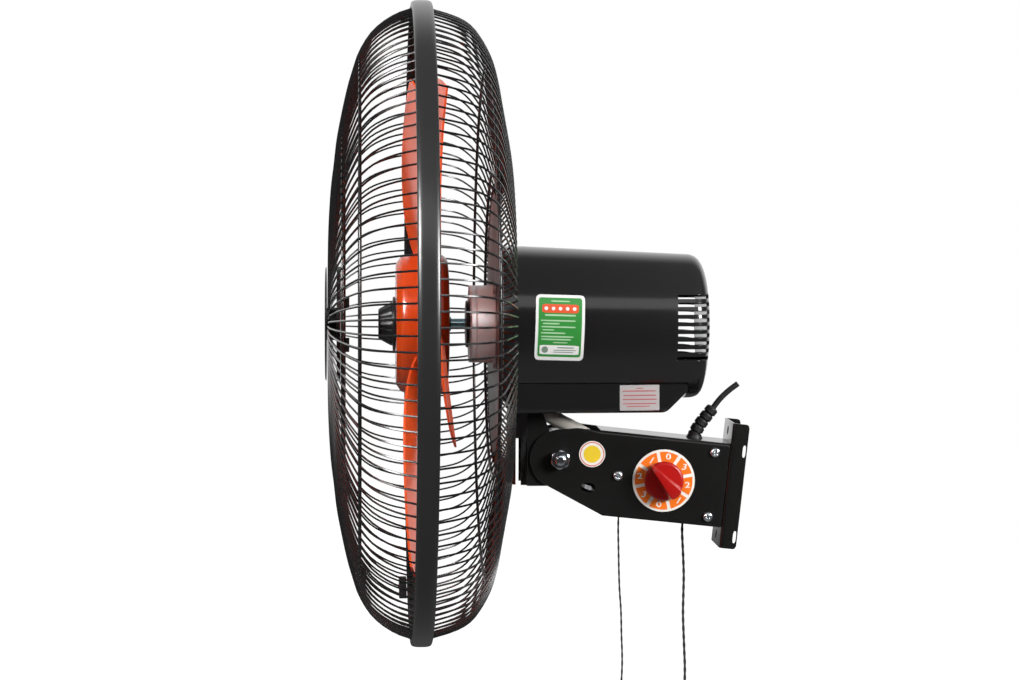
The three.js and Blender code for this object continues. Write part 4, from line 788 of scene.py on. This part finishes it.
# Pan: a U section, half width 39.9 to 32.4 mm, with rounded corners, carried from front to rear; the end walls are rows
# that shrink to the middle, and the rear one slopes.
pan_along = np.array([64.0, 64.6, 66, 72, 90, 110, 130, 150, 166, 175.5, 177.6, 179.4, 181, 187, 192.5, 194.0])
pan_floor = np.interp(pan_along, [64, 64.6, 66, 175.5, 177.6, 179.4, 181, 187, 192.5, 194],
                      [-61.0, -62.3, -63.1, -63.1, -62.8, -62.0, -60.8, -55.0, -49.4, -47.9])
pan_half = np.interp(pan_along, [64, 66, 194], [38.8, 39.9, 32.4])
seam = -40.9
corner_turn = np.radians(np.linspace(0, 90, 8))
pan_rows = []
for half, floor_z in zip(pan_half, pan_floor):
    soft = min(4.5, (seam - floor_z) * 0.8)
    wall_z = np.linspace(seam, floor_z + soft, 5)[:-1]
    corner = np.stack([half - soft * (1 - np.cos(corner_turn)), floor_z + soft - soft * np.sin(corner_turn)], axis=-1)
    near = np.concatenate([np.stack([np.full(4, half), wall_z], axis=-1), corner])
    bottom = np.stack([np.linspace(half - soft, -(half - soft), 7)[1:-1], np.full(5, floor_z)], axis=-1)
    pan_rows.append(np.concatenate([near, bottom, near[::-1] * (-1, 1)]))
pan_rows = np.array(pan_rows)
closing = [np.stack([0.5 * row[:, 0], np.full(len(row), seam)], axis=-1) for row in pan_rows[[0, -1]]]
all_rows = np.stack([closing[0], *pan_rows, closing[1]])
all_along = np.concatenate([[64.0], pan_along, [194.0]])
pan_points = on_head(all_rows[..., 0], all_along[:, None], all_rows[..., 1])
pan = make_piece("pan_shell", pan_points, grid_faces(len(all_rows), all_rows.shape[1]), "head", "black_plastic",
                 gloss_black, wall=0.002, crease=32)
soften(pan, 0.0003, 50)
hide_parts("bottom_pan")


# ---------------------------------------------------------------- labels on the motor
# Two paper stickers: an upright one with a white rim on the cover's side, and a flat silvery one on the pan. Here they
# carry plain fields, dots and bars only.

paper_white = even_surface("paper_white", (0.84, 0.84, 0.82), roughness=0.28, mottle=0.03)
paper_green = even_surface("paper_green", (0.035, 0.26, 0.045), roughness=0.3, mottle=0.06)
paper_red = even_surface("paper_red", (0.75, 0.09, 0.025), roughness=0.3, mottle=0.05)
paper_silver = even_surface("paper_silver", (0.60, 0.57, 0.57), roughness=0.3, mottle=0.05, Metallic=0.35)
pale_green = even_surface("pale_green", (0.42, 0.66, 0.40), roughness=0.3, mottle=0.04)
faded_red = even_surface("faded_red", (0.46, 0.13, 0.14), roughness=0.35, mottle=0.08)


def on_cover(along, above, level):
    """A place on the cover's side, its half width there plus a level. What the photograph shows level with the axis
    lies 3.7 degrees up the round, since the camera stands that much higher."""
    top, low = np.interp(along, [75, 197.5], [57.3, 51.7]), np.interp(along, [75, 197.5], [57.3, 54.4])
    up_round = math.radians(3.7)
    raised = above * math.cos(up_round) + half_width(above, top, low) * math.sin(up_round)
    return on_head(half_width(raised, top, low) + level, along, raised)


def on_pan(along, above, level):
    """A place on the pan's flat side, half width 39.9 to 32.4 mm, plus a level."""
    return on_head(np.interp(along, [66, 194], [39.9, 32.4]) + level + 0 * above, along, above)


def two_layers(first, second):
    """Two grids of points of one size, joined by a skirt round their rims: its points and its faces."""
    rows, columns = first.shape[:2]
    flat, count = grid_faces(rows, columns), rows * columns
    rim = np.concatenate([np.arange(columns), np.arange(1, rows) * columns + columns - 1,
                          (rows - 1) * columns + np.arange(columns - 2, -1, -1), np.arange(rows - 2, 0, -1) * columns])
    skirt = np.stack([rim, np.roll(rim, -1), np.roll(rim, -1) + count, rim + count], axis=-1)
    return np.concatenate([first.reshape(-1, 3), second.reshape(-1, 3)]), np.concatenate([flat, flat + count, skirt])


def tile(centre, size, corner, level, surface, lean, cells):
    """A thin tile on a side: a grid of points, those in the corner squares drawn in to a quarter circle."""
    a, b = np.meshgrid(np.linspace(-1, 1, cells), np.linspace(-1, 1, cells), indexing="ij")
    half = np.array(size) / 2
    x, y = a * half[0], b * half[1]
    over_x, over_y = np.abs(x) - (half[0] - corner), np.abs(y) - (half[1] - corner)
    out = (over_x > 0) & (over_y > 0)
    shrink = np.where(out, np.maximum(over_x, over_y) / np.maximum(np.hypot(over_x, over_y), 1e-9), 1)
    x = np.where(out, np.sign(x) * (half[0] - corner + over_x * shrink), x)
    y = np.where(out, np.sign(y) * (half[1] - corner + over_y * shrink), y)
    turn = math.radians(lean)
    along, above = x * math.cos(turn) - y * math.sin(turn), x * math.sin(turn) + y * math.cos(turn)
    return two_layers(*(surface(centre[0] + along, centre[1] + above, lift) for lift in (level, level + 0.08)))


def tiles(name, list_of_tiles, material, slot="white_plastic"):
    """Several tiles of one finish as one piece."""
    points, faces, start = [], [], 0
    for shape, quads in list_of_tiles:
        points.append(shape)
        faces.append(quads + start)
        start += len(shape)
    return make_piece(name, np.concatenate(points), np.concatenate(faces), "head", slot, material, crease=60)


def side_tile(a, b, width, height, corner, level, cells):
    """A tile of the upright label: (a, b) from its middle, leaning with it by 1.6 degrees."""
    lean = -1.6
    c, s = math.cos(math.radians(lean)), math.sin(math.radians(lean))
    return tile((98.6 + a * c - b * s, -3.0 + a * s + b * c), (width, height), corner, level, on_cover, lean, cells)


def pan_tile(a, b, width, height, level, corner=0.2, cells=5):
    """A tile of the pan's label: (a, b) from its middle."""
    return tile((158.6 + a, -51.7 + b), (width, height), corner, level, on_pan, 0.4, cells)


tiles("label_base", [side_tile(0, 0, 35.4, 47.0, 3.2, 0.03, 24)], paper_white)
tiles("label_green", [side_tile(0, 0.2, 31.2, 42.4, 1.6, 0.13, 24)], paper_green)
tiles("label_band", [side_tile(0, 13.6, 26.4, 6.2, 1.6, 0.24, 14)], paper_red, "red_plastic")
bars = [(0, 18.9, 13.5, 0.9), (0, 8.8, 22.0, 1.3), (-1.5, 4.9, 25.0, 1.0), (-6.5, 2.7, 12.0, 1.0),
        (-1.2, 0.4, 24.5, 1.0), (-8.5, -1.8, 8.5, 0.8), (-4.8, -4.0, 17.5, 1.0), (-1.8, -6.6, 23.5, 1.0),
        (-2.6, -8.6, 21.5, 1.0), (0.5, -10.8, 10.5, 0.8)]
tiles("label_lines", [side_tile(a, b, w, h, 0.35, 0.24, 6) for a, b, w, h in bars], pale_green)
tiles("label_dots", [side_tile(-10.2 + 5.1 * k, 13.6, 2.6, 2.6, 1.25, 0.35, 10) for k in range(5)]
      + [side_tile(0, -16.0, 28.4, 6.6, 1.0, 0.24, 12)], paper_white)
print_grey = even_surface("print_grey", (0.20, 0.27, 0.21), roughness=0.35, mottle=0.1)
tiles("label_small_print", [side_tile(4.5, -14.4, 12.0, 0.8, 0.3, 0.35, 6),
                            side_tile(4.0, -16.2, 16.5, 0.6, 0.25, 0.35, 6),
                            side_tile(3.0, -17.6, 14.5, 0.6, 0.25, 0.35, 6),
                            side_tile(-10.4, -16.0, 4.6, 4.6, 2.2, 0.35, 12)], print_grey)
tiles("pan_label", [pan_tile(0, 0, 29.0, 18.6, 0.03, 0.3, 12)], paper_silver)
pan_bars = [(0, 6.9, 5.0, 0.7), (-0.4, 4.9, 24.5, 0.9), (0, 1.7, 24.0, 1.0), (0, -1.2, 25.0, 1.0),
            (0, -4.3, 24.5, 0.9), (-1, -6.2, 17.0, 0.8)]
tiles("pan_label_lines", [pan_tile(a, b, w, h, 0.13) for a, b, w, h in pan_bars], faded_red, "red_plastic")


# ---------------------------------------------------------------- motor, bell and shaft
# The front bell is die cast aluminium, its nose turned bright where it passes the guard plate. The shaft is plated
# steel, with a thin black slinger in front of the bearing and a collar behind the hub.

turned_aluminium = bare_metal("turned_aluminium", (0.86, 0.83, 0.84), 0.36, 0.18, (260.0, 9000.0, 260.0), 0.25,
                              metallic=0.3)
plated_shaft = bare_metal("plated_shaft", (0.34, 0.50, 0.55), 0.14, 0.1, (600.0, 3000.0, 600.0), 0.05)
laminations = bare_metal("laminations", (0.24, 0.25, 0.26), 0.5, 0.2, (200.0, 2200.0, 200.0), 0.5)
rotor_steel = bare_metal("rotor_steel", (0.26, 0.27, 0.28), 0.4, 0.2, (200.0, 2200.0, 200.0), 0.5)
coil_copper = bare_metal("coil_copper", (0.62, 0.26, 0.10), 0.35, 0.2, (900.0, 900.0, 900.0), 0.6)
nose_section = [(12, 36.4), (12, 35.8), (27.2, 35.8), (28.4, 36.9), (28.4, 40.2), (28.1, 40.6), (28.4, 41.0),
                (28.4, 53.9), (27.9, 54.2), (27.9, 56), (12, 56)]
bell_nose = turned_piece("bell_nose", nose_section, "head", "cast_aluminium", turned_aluminium, axis="y", soft=0.35,
                         steps=96, place=on_head, ring=True, crease=25)
for finish, nodes in ((turned_aluminium, ("front_bell", "rear_bell")),
                      (bright_zinc, ("bearing_front", "bearing_rear", "swing_socket", "swing_motor", "swing_link",
                                     "swing_spindle", "knob_shaft")),
                      (sleeve_white, ("capacitor", "swing_crank", "speed_switch", "swing_switch")),
                      (grip_plastic, ("switch_carrier",)), (laminations, ("stator_core",)),
                      (rotor_steel, ("rotor_core",)), (coil_copper, ("winding_front", "winding_rear"))):
    for node in nodes:
        finish_node(node, finish)

shaft = turned_piece("shaft_bar", [(0, -27), (3.2, -27), (4, -26.2), (4, 20.6), (4, 20.62), (4, 162), (0, 162)],
                     "rotor", "zinc_steel", plated_shaft, axis="y", soft=0.2, steps=48, place=on_head)
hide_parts("motor_shaft")
satin_black = even_surface("satin_black", (0.012, 0.012, 0.013), roughness=0.34, grain=0.0006, strength=0.2)
turned_piece("hub_collar", [(4.05, 20.7), (5.2, 20.7), (5.2, 22.5), (4.05, 22.5)], "rotor", "black_plastic",
             satin_black, axis="y", soft=0.3, steps=40, place=on_head, ring=True)
slinger = turned_piece("slinger_disc", [(4.1, 33.3), (16.6, 33.3), (17.3, 33.9), (17.3, 35.3), (4.1, 35.3)], "rotor",
                       "black_plastic", satin_black, axis="y", soft=0.4, steps=64, place=on_head, ring=True)
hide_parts("slinger")


# ---------------------------------------------------------------- fan blades and spinner
# Hub and three blades are one moulding in translucent orange plastic. The hub is a deep cup. A black spinner, moulded
# with ribs in its taper, screws on in front of it.

def amber(name, color, through, roughness):
    """Translucent plastic: light passes through it, deeper coloured where the wall is seen on edge."""
    return even_surface(name, color, roughness=roughness, spread=0.08, mottle=0.12, cloud=0.02, grain=0.002,
                        strength=0.08, Transmission_Weight=through, IOR=1.45, Coat_Weight=0.25, Coat_Roughness=0.1)


hub_amber = amber("hub_amber", (0.62, 0.062, 0.008), 0.12, 0.22)
blade_amber = amber("blade_amber", (0.88, 0.11, 0.02), 0.42, 0.3)
hub_section = [(4.1, 20.3), (42.5, 20.3), (47.4, 19.7), (51, 16.0), (51, -9.8), (49.6, -14.2), (44.0, -18.0),
               (5.3, -18.0), (5.3, -15.8), (43.4, -15.8), (47.6, -12.8), (48.8, -9.0), (48.8, 15.0), (46.4, 17.8),
               (42.0, 18.3), (4.1, 18.3)]
turned_piece("hub_cup", hub_section, "rotor", "orange_plastic", hub_amber, axis="y", soft=1.6, steps=128,
             place=on_head, ring=True, crease=40)

# Blade: across = -1 (trailing) to 1 (leading), out = 0 (hub) to 1 (tip). It spans 105 to 89 degrees, its tip 24 degrees
# ahead of its root. along = (leading + trailing) / 2 + (leading - trailing) / 2 * (0.27 across + 0.73 across^3).
across, out = np.meshgrid(np.linspace(-1, 1, 73), np.linspace(0, 1, 57), indexing="ij")
tip = 200 - np.where(across > 0, 26, 4) * np.abs(across) ** 3
reach = 49.6 + (tip - 49.6) * out
leading = 15 + 5 * out ** 3
trailing = -13.9 + 10.5 * (1 - out) ** 6 + 5 * out ** 4
blade_u = (leading + trailing + (leading - trailing) * (0.27 * across + 0.73 * across ** 3)) / 2
half_span = (105 - 16 * np.sin(out * np.pi / 2)) / 2
# Arrow ribs beside the trailing edge: height = 0.3 (1 - 2 |v - 0.5|), v = (15 out + 22 |across + 0.78|) mod 1.
arrow = (out * 15 + 2.2 * np.abs((across + 0.78) / 0.1)) % 1.0
rib = np.where(np.abs(across + 0.78) < 0.1, 0.3 * (1 - np.abs(arrow - 0.5) * 2), 0)
thick = 0.75 + 0.25 * (1 - out) + rib
for k in range(3):
    turned = np.radians(-49.2 + 120 * k - 24 * (1 - out) + across * half_span)
    layers = (on_head(reach * np.sin(turned), blade_u + lift, reach * np.cos(turned)) for lift in (thick, -0.75))
    blade = make_piece(f"blade_{k + 1}", *two_layers(*layers), "rotor", "orange_plastic", blade_amber, crease=50)
    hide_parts("fan_blade")

# Spinner: 18 ribs in the taper, its radius times 1 - 0.02 (1 + cos 18 a).
ribs = np.cos(np.linspace(0, 2 * np.pi, 144, endpoint=False) * 18)[None]
spinner_profile = rounded([(0, -30.8), (10.6, -30.8), (11.6, -29.6), (15.8, -21.8), (16.0, -20.3), (19.4, -20.3),
                           (20.0, -19.8), (20.0, -18.3), (0, -18.3)], 0.4)
spinner_points = revolved(spinner_profile, 144, "y")
in_taper = (spinner_profile[:, 1] > -29.4) & (spinner_profile[:, 1] < -20.8) & (spinner_profile[:, 0] > 10)
squeeze = 1 - np.where(in_taper[:, None], 0.02 * (1 + ribs), 0)
spinner_points = spinner_points * np.stack([squeeze, np.ones_like(squeeze), squeeze], axis=-1)
spinner = make_piece("spinner_cap", on_head(*np.moveaxis(spinner_points, -1, 0)),
                     grid_faces(len(spinner_profile), 144, columns_close=True), "rotor", "black_plastic", satin_black)
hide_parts("spinner")


# ---------------------------------------------------------------- guards
# Each guard is 136 spokes of 1.5 mm wire, welded inside to two 2.3 mm hoops and held outside in the band. The front
# spokes meet behind the badge, the rear ones end on the guard plate. All are dipped in black.

wire_black = even_surface("wire_black", (0.006, 0.006, 0.0065), roughness=0.26, spread=0.12, mottle=0.2, cloud=0.01,
                          grain=0.0012, depth=0.00004, strength=0.25, Coat_Weight=0.15, Coat_Roughness=0.15)


def spoke_wires(name, path, node, turn, count=136, radius=0.75, steps=34, sides=5):
    """Wires that all follow one path of (along, radius from the axis), set 360/count degrees apart from turn on."""
    line = smooth_path([(0.0, u, r) for u, r in path], steps)
    tube = carried(line, radius * circle(sides))
    spin = (np.arange(count) + turn) * 2 * np.pi / count
    c, s = np.cos(spin)[:, None, None], np.sin(spin)[:, None, None]
    points = np.stack([tube[None, ..., 0] * c + tube[None, ..., 2] * s,
                       np.broadcast_to(tube[None, ..., 1], (count, *tube.shape[:2])),
                       -tube[None, ..., 0] * s + tube[None, ..., 2] * c], axis=-1)
    one = grid_faces(steps + 2, sides, columns_close=True)
    faces = (one[None] + (np.arange(count) * (steps + 2) * sides)[:, None, None]).reshape(-1, 4)
    piece = make_piece(name, on_head(*np.moveaxis(points, -1, 0)), faces, "head", "black_wire", wire_black, crease=60)
    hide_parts(node)


def hoop(name, along, radius, node, wire=1.15):
    """A closed hoop of round wire about the fan axis."""
    profile = np.array((radius, along)) + wire * circle(14)
    piece = turned_piece(name, profile, "head", "black_wire", wire_black, axis="y", soft=0, steps=192, place=on_head,
                         ring=True, crease=60)
    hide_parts(node)


rear_path = [(2.9, 231.2), (8.3, 229.2), (19.5, 226), (29.5, 222), (36.5, 217), (42, 210), (46.6, 202.4), (50.5, 193.8),
             (53.5, 183), (56, 170), (59.1, 154), (61.6, 141), (63.5, 129), (63, 121), (60.2, 112.5), (56.5, 106),
             (54.6, 102), (54.2, 97)]
front_path = [(-3, 231.4), (-8, 229.3), (-15.4, 226.8), (-22.8, 223), (-30.4, 217.6), (-36.9, 211), (-42.3, 202.6),
              (-46, 195), (-48.7, 186.4), (-52, 175.7), (-55.1, 162.7), (-57.8, 149.8), (-60.6, 134.7), (-62.7, 116.4),
              (-64.9, 98), (-66.5, 70), (-66.8, 41.5)]
spoke_wires("rear_spokes", rear_path, "rear_guard", 0.0)
spoke_wires("front_spokes", front_path, "front_guard", 0.5)
hoop("front_hoop_wide", -44.5, 196.2, "front_hoop_outer")
hoop("front_hoop_small", -56.3, 153.1, "front_hoop_inner")
hoop("rear_hoop_wide", 48.3, 190.2, "rear_hoop_outer")
hoop("rear_hoop_small", 53.3, 112.1, "rear_hoop_inner")

# Guard plate: a flat pressed disc with a rounded edge round the bell's nose, held by four screws into the bell.
plate_brown = even_surface("plate_brown", (0.040, 0.026, 0.027), roughness=0.45, spread=0.1, mottle=0.15, cloud=0.02,
                           grain=0.0012, strength=0.12)
plate_section = [(28.8, 54.3), (101.2, 54.3), (101.5, 54.6), (101.5, 55.4), (101.2, 55.7), (28.8, 55.7)]
plate = turned_piece("pressed_plate", plate_section, "head", "brown_plate", plate_brown, axis="y", soft=0.3,
                     steps=160, place=on_head, ring=True)
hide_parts("guard_plate")

# Band: a ring of sheet with rounded corners and a slightly crowned face, r = 236 at its middle, that clips both rims.
band_black = even_surface("band_black", (0.013, 0.013, 0.0135), roughness=0.3, spread=0.08, mottle=0.1, cloud=0.03,
                          grain=0.0016, strength=0.1, Coat_Weight=0.1, Coat_Roughness=0.12)
crown = [(236.0 - 1.6 * abs(t) ** 4, 7.5 * t) for t in np.linspace(-0.93, 0.93, 15)]
band_section = [(231.2, -7.5), (233.6, -7.5), *crown, (233.6, 7.5), (231.2, 7.5), (231.2, 5.9), (234.2, 5.7),
                (234.4, -5.7), (231.2, -5.9)]
band = turned_piece("band_ring", band_section, "head", "ring_black", band_black, axis="y", soft=0.3, steps=256,
                    place=on_head, ring=True, crease=50)
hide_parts("guard_band")
softened_copy("clasp_lever", "band_clasp", "head", band_black, 0.0008)
softened_copy("badge_disc", "front_badge", "head", satin_black, 0.0004)
softened_copy("badge_backing", "badge_back_plate", "head", satin_black, 0.0004)


# ---------------------------------------------------------------- stage
# A flat floor that the camera sees as plain white, like the photograph's ground, two soft lights in front at the sides
# and a strip over the camera.

ground, ground_tree, ground_shader = new_material("ground", Roughness=0.9, Base_Color=(0.15, 0.15, 0.15, 1),
                                                  Emission_Color=(1, 1, 1, 1))
looked_at = add_node(ground_tree, "ShaderNodeLightPath").outputs["Is Camera Ray"]
ground_tree.links.new(looked_at, ground_shader.inputs["Emission Strength"])
mesh = bpy.data.meshes.new("ground")
mesh.from_pydata([(-6, -4, -0.75), (3, -4, -0.75), (3, 4, -0.75), (-6, 4, -0.75)], [], [(0, 1, 2, 3)])
mesh.materials.append(ground)
floor = bpy.data.objects.new("ground", mesh)
bpy.context.scene.collection.objects.link(floor)


def area_light(name, place, target, size, power, spread=180):
    """A rectangular light at a place, turned to its target. The spread is in degrees."""
    light = bpy.data.lights.new(name, "AREA")
    light.shape, light.size, light.size_y, light.energy, light.spread = "RECTANGLE", *size, power, math.radians(spread)
    lamp = bpy.data.objects.new(name, light)
    lamp.location = place
    lamp.rotation_euler = (Vector(target) - Vector(place)).to_track_quat("-Z", "Y").to_euler()
    bpy.context.scene.collection.objects.link(lamp)
    return lamp


area_light("room_side", (1.5, -2.1, 1.1), (0, -0.2, 0.05), (0.9, 0.9), 19, 70)
area_light("wall_side", (1.5, 1.7, 1.1), (0, -0.2, 0.05), (0.9, 0.9), 16, 70)
area_light("strip", (2.0, -0.3, 1.6), (0, -0.2, 0.1), (2.6, 0.75), 7.5)
# The bright nose sits in the shade of the blades and the guard plate: a soft frontal light reaches it alone.
nose_light = area_light("nose_light", (2.2, -0.25, 0.9), (0, -0.2, 0.1), (1.6, 1.2), 34)
lit_alone = bpy.data.collections.new("lit_alone")
lit_alone.objects.link(bell_nose)
nose_light.light_linking.receiver_collection = lit_alone
world = bpy.data.worlds.new("studio")
world.use_nodes = True
bpy.context.scene.world = world
backdrop = world.node_tree.nodes["Background"]

# The studio is white behind the fan, grey above it and dark where the camera stands; the camera sees plain white.
direction = add_node(world.node_tree, "ShaderNodeTexCoord").outputs["Generated"]
parts = add_node(world.node_tree, "ShaderNodeSeparateXYZ", [direction]).outputs
behind_fan = add_node(world.node_tree, "ShaderNodeMapRange", {0: parts["X"], 1: -0.8, 2: -0.45, 3: 1.0, 4: 0.02})
above_fan = add_node(world.node_tree, "ShaderNodeMapRange", {0: parts["Z"], 1: 0.3, 2: 0.8, 3: 0.02, 4: 0.16})
dimmed = add_node(world.node_tree, "ShaderNodeMath", [behind_fan.outputs[0], above_fan.outputs[0]], operation="MAXIMUM")
seen = add_node(world.node_tree, "ShaderNodeLightPath").outputs["Is Camera Ray"]
strength = add_node(world.node_tree, "ShaderNodeMath", [dimmed.outputs[0], seen], operation="MAXIMUM")
world.node_tree.links.new(strength.outputs[0], backdrop.inputs["Strength"])
backdrop.inputs["Color"].default_value = (1, 1, 1, 1)
bpy.context.scene.view_settings.view_transform = "Standard"
